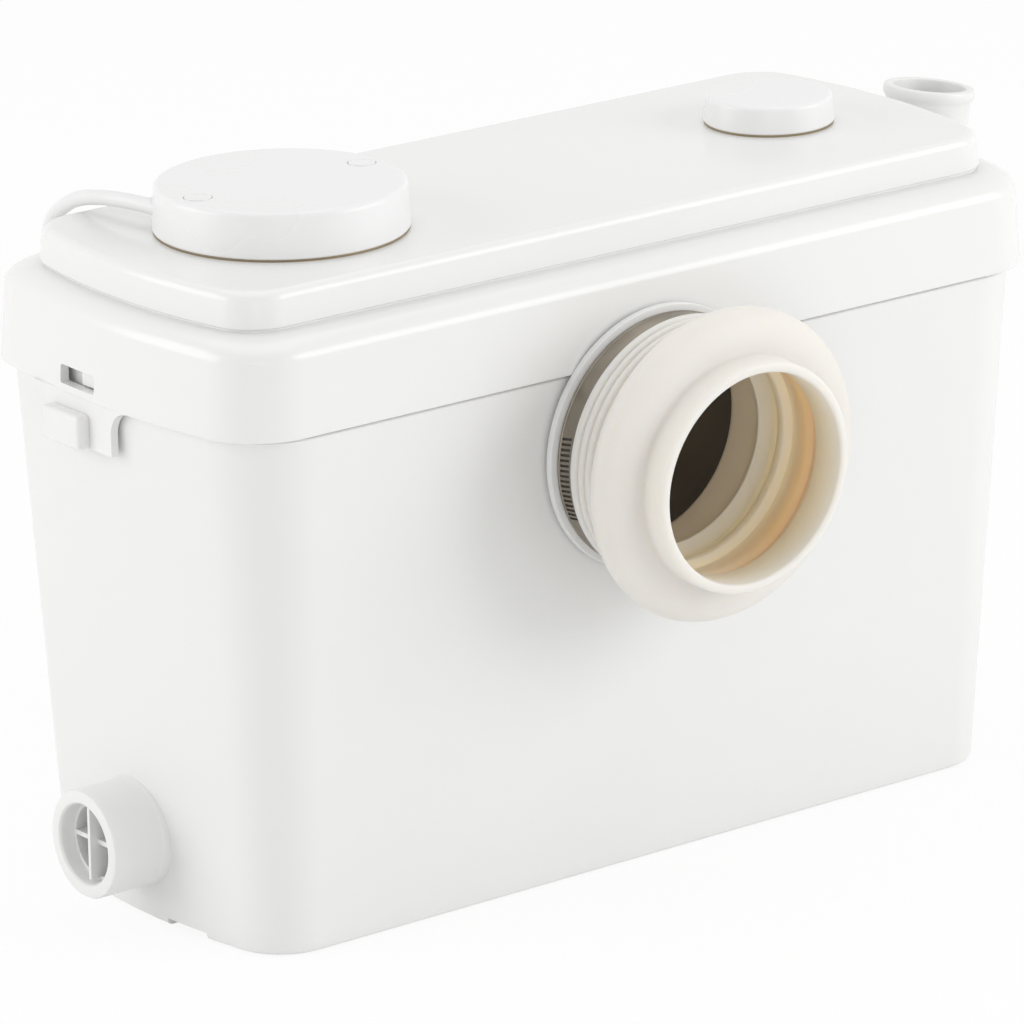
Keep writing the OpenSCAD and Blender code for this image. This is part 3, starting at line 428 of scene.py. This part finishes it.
def makeTank():
    wall, inset, bow = tank["wall"], tank["footInset"], tank["bow"]
    brim, ledge, rim = tank["brimZ"], tank["ledgeZ"], tank["rimZ"]
    start = tankAt(0, inset)
    foot = startPlate("tankFoot", start[:2], tank["baseCorner"] - inset, bow, 0, True)
    pull(start, [tankAt(0.2, 1.2), tankAt(0.8, 0.4), tankAt(2, 0)])
    start = tankAt(brim, 0)
    obj = startPlate("tankShell", start[:2], tank["brimCorner"], bow, brim, False)
    pull(start, [tankAt(ledge, 0.6), rimAt(ledge, 0), rimAt(rim, 0), rimAt(rim, wall),
                 rimAt(221.4, wall), tankAt(216, wall), tankAt(6, wall), tankAt(4, wall + 2)])
    disc()
    joinLoops(foot, obj, tank["wallRings"])
    seal(angle=30)
    cut(obj, rod("panHole", pan["hole"], 30, panFrame @ moved(0, 0, -22)))
    cut(obj, rod("sideHole", ports["sideHole"], 70, sideFrame))
    cut(obj, rod("outHole", ports["outHole"], 60, outFrame @ moved(0, 0, 180)))
    cut(obj, block("footNotch", *tank["notch"], tank["notchSoften"]))
    settle(obj, angle=30)
    finishPiece(obj, "housing", "white_plastic", "tank")


def makeBoss():
    r, hole = pan["boss"], pan["hole"]
    profile = [(hole, -3), (r + 1.5, -3), (r, 0.5), (r, 2.4), (hole, 2.4), (hole, -3)]
    obj = turned("panBoss", profile, sides["large"])
    seal(angle=35)
    setDown(obj, panFrame)
    finishPiece(obj, "housing", "white_plastic")


makeTank()
makeBoss()
print("tank done")

# lid: skirt, rounded shoulder and raised plateau
lid = dict(skirt=(219.3, 94.9), skirtCorner=32.0, skirtBow=10.8, plateau=(205.7, 77.6),
           plateauCorner=25.0, bow=10.0, top=281.2, edge=4.0, edgeInset=0.9, lean=2.0,
           shoulder=256.4, rise=8.5, flare=0.6, topInset=4.0, arch=53.3,
           window=((-222, -0.6, 228.2), (-208, 24.0, 236.0)), windowSoften=1.2)


def skirtAt(z, inset):
    return tuple(a - inset for a in lid["skirt"]) + (z,)


def plateauAt(z, inset):
    return tuple(a - inset for a in lid["plateau"]) + (z,)


def shoulderAt(degrees):
    a = math.radians(degrees)
    t = 1 - math.cos(a)
    low, high = skirtAt(0, lid["lean"]), plateauAt(0, -lid["flare"])
    w, d = (low[i] + (high[i] - low[i]) * t for i in (0, 1))
    return w, d, lid["shoulder"] + lid["rise"] * math.sin(a)


def edgeAt(degrees):
    a, edge = math.radians(degrees), lid["edge"]
    z, inset = lid["top"] - edge * (1 - math.sin(a)), lid["edgeInset"] + edge * (1 - math.cos(a))
    return plateauAt(z, inset)


def makeLidUpper():
    start = edgeAt(90)
    corner = lid["plateauCorner"] - lid["edgeInset"] - lid["edge"]
    upper = startPlate("lidUpper", start[:2], corner, lid["bow"], lid["top"], True)
    foot = ((267.2, 0.05), (266.5, 0.15), (266.1, 0.5), (265.9, 1), (265.2, 1))
    pull(start, [edgeAt(a) for a in (78, 66, 54, 42, 30, 18, 8, 0)] + [plateauAt(*p) for p in foot])
    mesh = bmesh.from_edit_mesh(upper.data)
    bpy.ops.mesh.select_mode(type="FACE")
    for face in mesh.faces:  # the top, the only face with many sides
        face.select_set(len(face.verts) > 8)
    bmesh.update_edit_mesh(upper.data)
    bpy.ops.mesh.inset(thickness=lid["topInset"] * mm)
    bpy.ops.mesh.select_mode(type="EDGE")
    clearAll()
    return upper


def makeLid():
    upper = makeLidUpper()
    level, lean = lid["shoulder"], lid["lean"]
    start = skirtAt(level, lean)
    corner = lid["skirtCorner"] - lean
    obj = startPlate("lidShell", start[:2], corner, lid["skirtBow"], level, False)
    pull(start, [shoulderAt(a) for a in range(10, 91, 10)])
    # back to the lower edge of the shoulder, then down the skirt and up inside
    pickEdges(obj, lambda edge: all(abs(v.co.z - level * mm) < tool["touch"] for v in edge.verts))
    skirt = ((252.4, 1.8), (245, 1.3), (238, 0.9), (232, 0.5), (226.2, 0.05), (225.2, 0),
             (224.7, 0.25), (224.4, 0.8), (224.4, 4.5), (252, 4.5))
    inside = ((252, 8.5), (275.7, 8.5), (277.7, 10.5))
    pull(start, [skirtAt(*p) for p in skirt] + [plateauAt(*p) for p in inside])
    disc()
    joinLoops(upper, obj, 0)
    seal(angle=32)
    cut(obj, rod("flangeArch", lid["arch"], 22, panFrame @ moved(0, 0, -12)))
    for turn in (0, math.pi):
        slot = block("latchWindow", *lid["window"], lid["windowSoften"])
        setDown(slot, Matrix.Rotation(turn, 4, "Z"))
        cut(obj, slot)
    settle(obj, angle=32)
    finishPiece(obj, "housing", "lid_plastic", "lid")


makeLid()
print("lid done")

# latch tab under each end of the skirt, with its finger pad and the catch behind the window
latch = dict(y=11.0, width=44.0, drop=20.0, flank=11.0, face=-218.4, thick=3.5, overlap=1.0,
             pad=(4.0, 30.0), padDepth=6.0, padHeight=14.4, padSoften=1.8, catchSoften=0.8)


def makeLatch(turn):
    y, f, x, brim = latch["y"], latch["flank"], latch["face"], tank["height"]
    h, low = latch["width"] / 2, brim - latch["drop"]
    back = x + latch["thick"]
    tab = block("latchTab", (x, y - h - f, low), (back, y + h + f, brim + latch["overlap"]))
    for s in (-1, 1):
        edge = y + s * (h + f)
        cut(tab, rod("flank", f, 16, alongX(x - 5, edge, brim - f)))
        cut(tab, block("flankCut", (x - 5, edge - f, low - 2), (x + 9, edge + f, brim - f)))
    near, far = latch["pad"]
    front, high = x - latch["padDepth"], low + latch["padHeight"]
    pad = block("latchPad", (front, near, low), (x + 1, far, high), latch["padSoften"])
    catch = block("latchCatch", (x + 3.4, -1.0, 228.6), (x + 9, 13.5, 235.4), latch["catchSoften"])
    joinPieces(tab, pad, catch)
    setDown(tab, Matrix.Rotation(turn, 4, "Z"))
    settle(tab, angle=35)
    return tab


def makeLatches():
    left, right = makeLatch(0), makeLatch(math.pi)
    joinPieces(left, right)
    left.name = "lidLatches"
    finishPiece(left, "housing", "lid_plastic", "lid_latches")


makeLatches()
print("latches done")

# motor cap with two screw plugs, vent cap, and the gasket under each
motorCap = dict(place=(-123.7, -1.0), radius=53.0, height=20.3, lean=0.8, edge=2.4, wall=2.6,
                screws=41.5, seat=6.0, seatDepth=1.3, cable=(-166, 20, 291.2), cableHole=3.5)
ventCap = dict(place=(136.5, 0.0), radius=28.2, height=13.0, lean=0.7, edge=2.0, wall=2.2)
gasket = dict(thick=1.0, inset=0.3, width=6.0)
capTop = dict(drop=0.1, crown=0.01, inset=2)


def capProfile(cap):
    r, wall, edge = cap["radius"], cap["wall"], cap["edge"]
    low, high = lid["top"] + gasket["thick"], lid["top"] + cap["height"] - capTop["drop"]
    profile = [(r - wall, high - wall), (r - wall, low + 0.3), (r - wall + 0.3, low),
               (r - 0.4, low), (r, low + 0.5)]
    for degrees in range(0, 91, 18):
        a = math.radians(degrees)
        inset, drop = edge * (1 - math.cos(a)), edge * (1 - math.sin(a))
        profile.append((r - cap["lean"] - inset, high - drop))
    return profile


def makeCap(name, cap):
    profile = capProfile(cap)
    obj = turned(name, profile, sides["large"], closed=False)
    r, z = profile[-1]
    inner = r - capTop["inset"]
    pull((r, r, z), [(inner, inner, z + capTop["crown"])])
    disc(capTop["inset"])
    pickEdges(obj, isOpen)
    disc()
    seal(angle=30)
    setDown(obj, moved(*cap["place"], 0))
    return obj


def makeMotorCap():
    x, y = motorCap["place"]
    top = lid["top"] + motorCap["height"]
    screws = [x + s * motorCap["screws"] for s in (-1, 1)]
    obj = makeCap("motorCap", motorCap)
    for screw in screws:
        cut(obj, rod("plugSeat", motorCap["seat"], 6, moved(screw, y, top - motorCap["seatDepth"])))
    backward = Matrix.Rotation(-quarter, 4, "X")
    cut(obj, rod("cableHole", motorCap["cableHole"], 24, moved(*motorCap["cable"]) @ backward))
    pickOut(obj)
    bpy.ops.object.shade_smooth_by_angle(angle=math.radians(30))
    finishPiece(obj, "housing", "cap_plastic", "motor_cap")
    profile = [(5.1, -1.3), (5.7, -1.3), (5.7, -0.1), (5.55, 0.15), (5.2, 0.25),
               (4.4, 0.25), (4.2, 0.05)]
    plugs = []
    for screw in screws:
        plug = turned("capPlug", profile, sides["plug"], closed=False)
        disc()
        seal(angle=35)
        setDown(plug, moved(screw, y, top))
        plugs.append(plug)
    joinPieces(*plugs)
    plugs[0].name = "capPlugs"
    finishPiece(plugs[0], "housing", "cap_plastic", "motor_cap_plugs")


def makeVentCap():
    obj = makeCap("ventCap", ventCap)
    finishPiece(obj, "vent_cap", "cap_plastic", "vent_cap")


def makeGasket(name, cap, node):
    top, outer = lid["top"], cap["radius"] - gasket["inset"]
    high, inner = top + gasket["thick"], outer - gasket["width"]
    profile = [(inner, top), (outer - 0.1, top), (outer, top + 0.2), (outer, high - 0.2),
               (outer - 0.1, high), (inner, high), (inner, top)]
    obj = turned(name, profile, sides["large"])
    seal(angle=35)
    setDown(obj, moved(*cap["place"], 0))
    finishPiece(obj, "housing", "dark_rubber", node)
    obj.data.materials[0] = gasketRubber


makeMotorCap()
makeVentCap()
makeGasket("motorGasket", motorCap, "motor_cap_gasket")
makeGasket("ventGasket", ventCap, "vent_gasket")
print("caps done")

# rubber pan sleeve on the spigot, as radius and distance from the tank
sleeve = dict(neck=53.6, start=5.4, bulge=67.0, bulgeAt=46.0, mouth=45.0, mouthAt=68.0, seat=50.55,
              ridges=((10.6, 14.6), (15.6, 19.0), (20.0, 23.4)), flareAt=24.2, browAt=12.0,
              # the last two place the band of amber painted glow inside the mouth
              arcSteps=16, paintedGlowAt=26.0, paintedGlowReach=9.0)
spigot = dict(outer=50.5, bore=47.0, flange=57.0, inner=-12.0, tip=14.2)
clip = dict(offset=0.8, gap=0.05, width=9.0, slots=17, first=168, pitch=2.4, slant=12)


# writes the painted-light mask as a colour attribute from each vertex's radius, distance and x
def paintLightInside(obj, rule):
    layer = obj.data.color_attributes.new("paintedLight", "FLOAT_COLOR", "POINT")
    for v, c in zip(obj.data.vertices, layer.data):
        r, l = math.hypot(v.co.x, v.co.y) / mm, v.co.z / mm
        c.color = (*rule(r, l, v.co.x / mm), 1)


# painted light inside the sleeve: red marks the inside faces for a warm painted light, green an
# amber painted glow in a band in from the mouth, stronger on the lit side
def sleevePaintedLight(r, l, x):
    m, e = sleeve["mouth"], sleeve["mouthAt"]
    bore = r < m + 5.2 and l < e - 14
    lip = r < m + 0.6 and l < e - 1.2
    neck = r < 51 and l < 23
    inner = 1.0 if bore or lip or neck else 0.0
    ring = max(0.0, 1 - abs(l - e + sleeve["paintedGlowAt"]) / sleeve["paintedGlowReach"])
    litSide = max(0.0, min(1.0, (x + 8) / 40))
    return inner, inner * ring * litSide, 0.0


def sleeveOutside():
    n, s, m, e = (sleeve[k] for k in ("neck", "start", "mouth", "mouthAt"))
    b, c = sleeve["bulge"], sleeve["bulgeAt"]
    ribs = [(sleeve["seat"], s), (n, s), (n, s + 10.2)]
    for low, high in sleeve["ridges"]:
        low, high = s + low, s + high
        ribs += [(n + 0.7, low), (n + 2, low + 0.3), (n + 2.4, low + 0.9), (n + 2.4, high - 0.9),
                 (n + 2, high - 0.3), (n + 0.8, high)]
    flare, brow = [], []
    first, last, root = s + sleeve["flareAt"], e - sleeve["browAt"], m + 5.4
    for i in range(sleeve["arcSteps"] + 1):
        t = i / sleeve["arcSteps"]
        a = quarter * t
        flare.append((n + 1 + (b - n - 1) * math.sin(a) ** 1.2, first + (c - first) * t ** 0.9))
        brow.append((root + (b - root) * math.cos(a), c + (last - c) * math.sin(a)))
    return ribs + flare + brow[1:]


def sleeveInside():
    m, e, seat = sleeve["mouth"], sleeve["mouthAt"], sleeve["seat"]
    lip = [(m + 4.8, e - 11.6), (m + 4.5, e - 10.6), (m + 4.4, e - 1.8), (m + 4.1, e - 0.8),
           (m + 3.4, e - 0.2), (m + 2.6, e), (m + 1.2, e), (m + 0.4, e - 0.3), (m, e - 1)]
    bore = [(m, e - 15.6), (m + 0.4, e - 16.4), (m + 4.7, e - 22.4), (m + 5, e - 23),
            (m + 4.8, e - 23.6), (m + 3.9, e - 25), (m + 3.4, e - 26.5), (m + 3.3, e - 28),
            (m + 3.6, e - 31.5), (m + 4.6, e - 35), (m + 5, e - 37), (m + 1.8, e - 38.4),
            (m + 1.5, e - 39), (m + 1.5, 26), (m + 2, 25)]
    root = [(50.2, 22.4), (50.5, 21.6), (50.5, 19.4), (50, 18.9), (m - 1.2, 17.6), (m - 1.6, 17),
            (m - 1.6, 16.2), (m - 1.2, 15.8), (seat, 14.5), (seat, sleeve["start"])]
    return lip + bore + root


def makeSleeve():
    obj = turned("panSleeve", sleeveOutside() + sleeveInside(), sides["large"])
    seal(angle=50)
    paintLightInside(obj, sleevePaintedLight)
    setDown(obj, panFrame)
    finishPiece(obj, "housing", "cream_rubber", "pan_sleeve")


def makeSpigot():
    r, b, f, low, tip = (spigot[k] for k in ("outer", "bore", "flange", "inner", "tip"))
    s = sleeve["start"]
    profile = [(b, low), (b, tip - 0.6), (b + 0.6, tip), (r - 0.5, tip), (r, tip - 0.6), (r, s),
               (f - 0.6, s), (f - 0.15, s - 0.15), (f, s - 0.6), (f, 2.5), (r, 2.5),
               (r, low), (b, low)]
    obj = turned("panSpigot", profile, sides["large"])
    seal(angle=35)
    # marks the bore faces for the warm painted light
    paintLightInside(obj, lambda radius, l, x: (1.0 if radius < b + 2 else 0.0, 0.0, 0.0))
    setDown(obj, panFrame)
    finishPiece(obj, "housing", "white_plastic", "pan_spigot")
    obj.data.materials[0] = spigotPlastic


def makeClip():
    r, l = sleeve["neck"] + clip["gap"], sleeve["start"] + clip["offset"]
    h = l + clip["width"]
    profile = [(r, l), (r + 0.65, l), (r + 0.85, l + 0.2), (r + 0.85, l + 0.9), (r + 0.6, l + 1.2),
               (r + 0.6, h - 1.2), (r + 0.85, h - 0.9), (r + 0.85, h - 0.2), (r + 0.65, h),
               (r, h), (r, l)]
    band = turned("clipBand", profile, sides["band"])
    seal(angle=30)
    slots = []
    for i in range(clip["slots"]):  # worm slots, slanted across the band
        slot = block("wormSlot", (r - 1, -0.55, -2.9), (r + 3, 0.55, 2.9))
        around = Matrix.Rotation(math.radians(clip["first"] + i * clip["pitch"]), 4, "Z")
        slant = Matrix.Rotation(math.radians(clip["slant"]), 4, "X")
        setDown(slot, around @ moved(0, 0, l + clip["width"] / 2) @ slant)
        slots.append(slot)
    joinPieces(*slots)
    cut(band, slots[0])
    setDown(band, panFrame)
    settle(band, angle=30)
    finishPiece(band, "housing", "clip_steel", "sleeve_clip_band")
    # painted shade: a dark ring behind the slots stands in for the shade inside them
    inner, outer, low, high = r - 0.04, r + 0.12, l + 1.2, h - 1.2  # dark ring behind the slots
    profile = [(inner, low), (outer, low), (outer, high), (inner, high), (inner, low)]
    slotShade = turned("clipSlotShade", profile, sides["band"])
    seal(angle=30)
    setDown(slotShade, panFrame)
    finishPiece(slotShade, "housing", "dark_rubber")


makeSleeve()
makeSpigot()
makeClip()
print("pan inlet done")

# side inlet spigot, as radius and distance from its open end
side = dict(outer=23.0, bore=17.0, length=34.0, collar=0.6)


def makeSideInlet():
    r, b, h, c = (side[k] for k in ("outer", "bore", "length", "collar"))
    profile = [(b, h), (b, 1.4), (b + 0.3, 0.5), (b + 0.9, 0), (r - 1.4, 0), (r - 0.5, 0.3),
               (r, 1.2), (r, h - 10.6), (r + 0.3, h - 10), (r + c, h - 9.4), (r + c, h), (b, h)]
    obj = turned("sideSpigot", profile, sides["inlet"])
    seal(angle=35)
    setDown(obj, sideFrame)
    finishPiece(obj, "housing", "white_plastic")


makeSideInlet()
print("side inlet done")

# discharge elbow, its leg made upright, leaned outwards and then bent into its socket
elbow = dict(lean=7.0, legX=249.0, bend=20.0, bendSteps=14, height=94.9, bore=16.0, wall=1.5,
             bead=20.3, socket=20.0, seat=16.55, socketEnd=214.0)
outlet = dict(outer=16.5, collar=20.0, start=204.0, shoulder=212.0, tip=228.0)


def makeLeg():
    h, b, bead, wall, bend = (elbow[k] for k in ("height", "bore", "bead", "wall", "bend"))
    inside = [(b - wall, bend), (b - wall, h - 24.6), (b, h - 24), (b, h - 1), (b + 0.3, h - 0.3),
              (b + 0.9, h)]
    outside = [(bead - 1.1, h), (bead - 0.3, h - 0.4), (bead, h - 1.2), (bead, h - 3.6),
               (bead - 0.3, h - 4.4), (b + 3.2, h - 5.4), (b + 2.8, h - 6.4), (b + 2.6, h - 14),
               (b + wall, h - 50), (b + wall, bend)]
    return turned("dischargeElbow", inside + outside, sides["tube"], closed=False)


def pullAlongX(steps):
    for (x0, r0), (x1, r1) in zip(steps, steps[1:]):
        bpy.ops.mesh.extrude_edges_move(TRANSFORM_OT_translate={"value": ((x1 - x0) * mm, 0, 0)})
        bpy.ops.transform.resize(value=(1, r1 / r0, r1 / r0), center_override=(0, 0, 0))


def makeElbow():
    b, wall, socket, seat = (elbow[k] for k in ("bore", "wall", "socket", "seat"))
    end, footX = elbow["socketEnd"], elbow["legX"] - elbow["bend"]
    obj = makeLeg()
    bpy.ops.mesh.select_all(action="SELECT")
    bpy.ops.transform.translate(value=(elbow["legX"] * mm, 0, 0))
    lean = math.radians(elbow["lean"])
    turn = Vector((footX, 0, elbow["bend"])) * mm
    bpy.ops.transform.rotate(value=-lean, orient_axis="Y", orient_type="GLOBAL",
                             center_override=turn)
    bpy.ops.mesh.select_all(action="DESELECT")
    leg = Vector((math.sin(lean), 0, math.cos(lean)))

    def atLegEnd(v):  # lower ends of the leg, inside and out
        return abs((v.co - turn).dot(leg)) < tool["touch"]

    pickEdges(obj, lambda edge: all(atLegEnd(v) for v in edge.verts))
    bpy.ops.mesh.spin(steps=elbow["bendSteps"], dupli=False, angle=lean - quarter,
                      center=turn, axis=(0, 1, 0))
    bpy.ops.mesh.select_all(action="DESELECT")
    inside = [(footX, b - wall), (footX - 0.6, b - wall), (footX - 0.8, seat), (end, seat)]
    outside = [(footX, b + wall), (footX - 0.4, b + 2.2), (footX - 1, socket - 0.6),
               (footX - 1.8, socket), (end + 0.4, socket), (end - 0.4, socket - 0.7)]
    for inner, steps in ((True, inside), (False, outside)):
        def atFoot(v):
            within = math.hypot(v.co.y, v.co.z) < b * mm
            return abs(v.co.x - footX * mm) < tool["touch"] and within == inner

        pickEdges(obj, lambda edge: edge.is_boundary and all(atFoot(v) for v in edge.verts))
        pullAlongX(steps)
    bpy.ops.mesh.select_all(action="DESELECT")
    pickEdges(obj, isOpen)
    bpy.ops.mesh.bridge_edge_loops()
    bpy.ops.mesh.select_all(action="SELECT")
    bpy.ops.mesh.remove_doubles(threshold=tool["merge"])
    seal(angle=40)
    setDown(obj, moved(*ports["out"]))
    finishPiece(obj, "elbow", "white_plastic", "discharge_elbow")


def makeOutlet():
    b, r, c = ports["outHole"], outlet["outer"], outlet["collar"]
    low, step, tip = outlet["start"], outlet["shoulder"], outlet["tip"]
    profile = [(b, low), (b, tip), (r - 0.5, tip), (r, tip - 0.5), (r, step), (c, step),
               (c, low), (b, low)]
    obj = turned("outletSpigot", profile, sides["tube"])
    seal(angle=35)
    setDown(obj, outFrame)
    finishPiece(obj, "housing", "white_plastic")


makeElbow()
makeOutlet()
print("elbow done")

# mains cord: cap to floor, coil behind the tank, tail to the plug
cord = dict(diameter=6.4, coil=(40.0, 168.0), coilRadius=43.0, step=7.2, turns=4.5, lift=7.0,
            low=4.8, loopPoints=24, easeSteps=6, roundSteps=6)
cableRoute = [
    (-166, 15, 291.2), (-166, 29, 291.2), (-167.5, 42, 291.0), (-169, 56, 290.0),
    (-169.4, 65, 288.6), (-169.3, 74, 286.6), (-168.8, 84, 283.0), (-168.3, 93, 277.8),
    (-167.7, 99.6, 272.4),
    (-167, 104.2, 264.6), (-166.4, 106.1, 254.7), (-165.6, 106.1, 225), (-164.6, 106.1, 185),
    (-163.4, 106.1, 145), (-162.2, 106.3, 105), (-161, 106.9, 68), (-160, 107.6, 46),
    (-155, 109.6, 25.5), (-141, 113.1, 10.4), (-121, 117.1, 4.8), (-96, 121.1, 4.8),
    (-66, 124.1, 4.8), (-36, 125, 4.8), (-6, 125, 4.8), (20, 125, 4.8), (40, 125, 4.8)]
tailRoute = [
    (40, 211, 11.8), (30, 211, 11.8), (16, 211, 13.8), (0, 211, 18), (-12, 211, 19.5),
    (-22, 211, 19.5)]


def eased(points):  # one smooth curve through the points
    p = [Vector(x) for x in points]
    count = cord["easeSteps"]
    out = []
    for i in range(len(p) - 1):
        a, b, c, d = p[max(i - 1, 0)], p[i], p[i + 1], p[min(i + 2, len(p) - 1)]
        for j in range(count):
            k = j / count
            square, cube = 2 * a - 5 * b + 4 * c - d, 3 * b - a - 3 * c + d
            out.append(0.5 * (2 * b + (c - a) * k + square * k * k + cube * k ** 3))
    return out + [p[-1]]


def coilAt(t):  # winds inwards, steps up a layer and winds out again
    flip = cord["turns"] / 2
    r = cord["coilRadius"] - cord["step"] * (flip - abs(t - flip))
    a = 2 * math.pi * t
    x, y = cord["coil"]
    z = cord["low"] + cord["lift"] * max(0.0, min(1.0, (t - flip + 0.25) * 2))
    return Vector((x + r * math.sin(a), y - r * math.cos(a), z))


def makeCord():
    loop = cord["loopPoints"]
    coil = [coilAt(i / loop) for i in range(1, int(loop * cord["turns"]))]
    points = eased(cableRoute) + coil + eased(tailRoute)
    line = bpy.data.curves.new("mainsCord", "CURVE")
    line.dimensions = "3D"
    line.bevel_depth = cord["diameter"] / 2 * mm
    line.bevel_resolution = cord["roundSteps"]
    line.use_fill_caps = True
    spline = line.splines.new("POLY")
    spline.points.add(len(points) - 1)
    for place, p in zip(spline.points, points):
        place.co = (*(p * mm), 1)
    spline.use_smooth = True
    obj = bpy.data.objects.new("mainsCord", line)
    bpy.context.scene.collection.objects.link(obj)
    line.materials.append(finishes["cord_plastic"])
    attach(obj, "housing")
    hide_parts("power_cable", "cable_coil", "cable_tail")


makeCord()
print("cord done")

# studio, in metres: name, power, size, place and target of each light panel
studio = dict(world=0.67, floorSize=12, floorZ=-0.0005, floorGrey=0.9, floorRough=0.9,
              floorGlow=0.9)
panels = (
    ("frontPanel", 22.5, (1.8, 1.5), (1.5, -1.75, 0.98), (0, 0, 0.15)),
    ("endPanel", 15.5, (1.6, 1.5), (-1.95, 0.92, 0.8), (0, 0, 0.15)),
    ("cameraPanel", 4.0, (0.9, 0.9), (-1.4, -2.0, 0.55), (0, -0.1, 0.17)),
    ("topPanel", 12.0, (2.2, 2.2), (0.2, 0.5, 2.4), (0, 0, 0.2)),
)


def addLight(name, energy, size, place, target):
    bpy.ops.object.light_add(type="AREA")
    lamp = bpy.context.object
    lamp.name = name
    lamp.data.energy = energy
    lamp.data.shape = "RECTANGLE"
    lamp.data.size, lamp.data.size_y = size
    lamp.location = place
    lamp.rotation_euler = (Vector(target) - Vector(place)).to_track_quat("-Z", "Y").to_euler()


def seenDirectly(tree):  # 1 for rays that show the backdrop itself
    ray = tree.nodes.new("ShaderNodeLightPath")
    value = ray.outputs["Is Camera Ray"]
    for kind in ("Is Glossy Ray", "Is Transmission Ray"):
        most = tree.nodes.new("ShaderNodeMath")
        most.operation = "MAXIMUM"
        tree.links.new(value, most.inputs[0])
        tree.links.new(ray.outputs[kind], most.inputs[1])
        value = most.outputs["Value"]
    return value


def addFloor():
    clearAll()
    bpy.ops.mesh.primitive_plane_add(size=studio["floorSize"], location=(0, 0, studio["floorZ"]))
    floor = bpy.context.object
    floor.name = "studioFloor"
    mat = bpy.data.materials.new("floorWhite")
    mat.use_nodes = True
    tree = mat.node_tree
    shader = tree.nodes["Principled BSDF"]
    shader.inputs["Base Color"].default_value = (*[studio["floorGrey"]] * 3, 1)
    shader.inputs["Roughness"].default_value = studio["floorRough"]
    glow = tree.nodes.new("ShaderNodeEmission")
    glow.inputs["Color"].default_value = (1, 1, 1, 1)
    share = tree.nodes.new("ShaderNodeMath")
    share.operation = "MULTIPLY"
    share.inputs[1].default_value = studio["floorGlow"]
    mix = tree.nodes.new("ShaderNodeMixShader")
    tree.links.new(seenDirectly(tree), share.inputs[0])
    tree.links.new(share.outputs["Value"], mix.inputs["Fac"])
    tree.links.new(shader.outputs["BSDF"], mix.inputs[1])
    tree.links.new(glow.outputs["Emission"], mix.inputs[2])
    tree.links.new(mix.outputs["Shader"], tree.nodes["Material Output"].inputs["Surface"])
    floor.data.materials.append(mat)


def addWorld():
    world = bpy.data.worlds.new("studioWorld")
    bpy.context.scene.world = world
    world.use_nodes = True
    tree = world.node_tree
    back = tree.nodes["Background"]
    back.inputs["Color"].default_value = (1, 1, 1, 1)
    level = tree.nodes.new("ShaderNodeMapRange")
    level.inputs["To Min"].default_value = studio["world"]
    level.inputs["To Max"].default_value = 1.0
    tree.links.new(seenDirectly(tree), level.inputs["Value"])
    tree.links.new(level.outputs["Result"], back.inputs["Strength"])


addFloor()
addWorld()
for panel in panels:
    addLight(*panel)
bpy.context.scene.view_settings.view_transform = "Standard"
print("studio done")
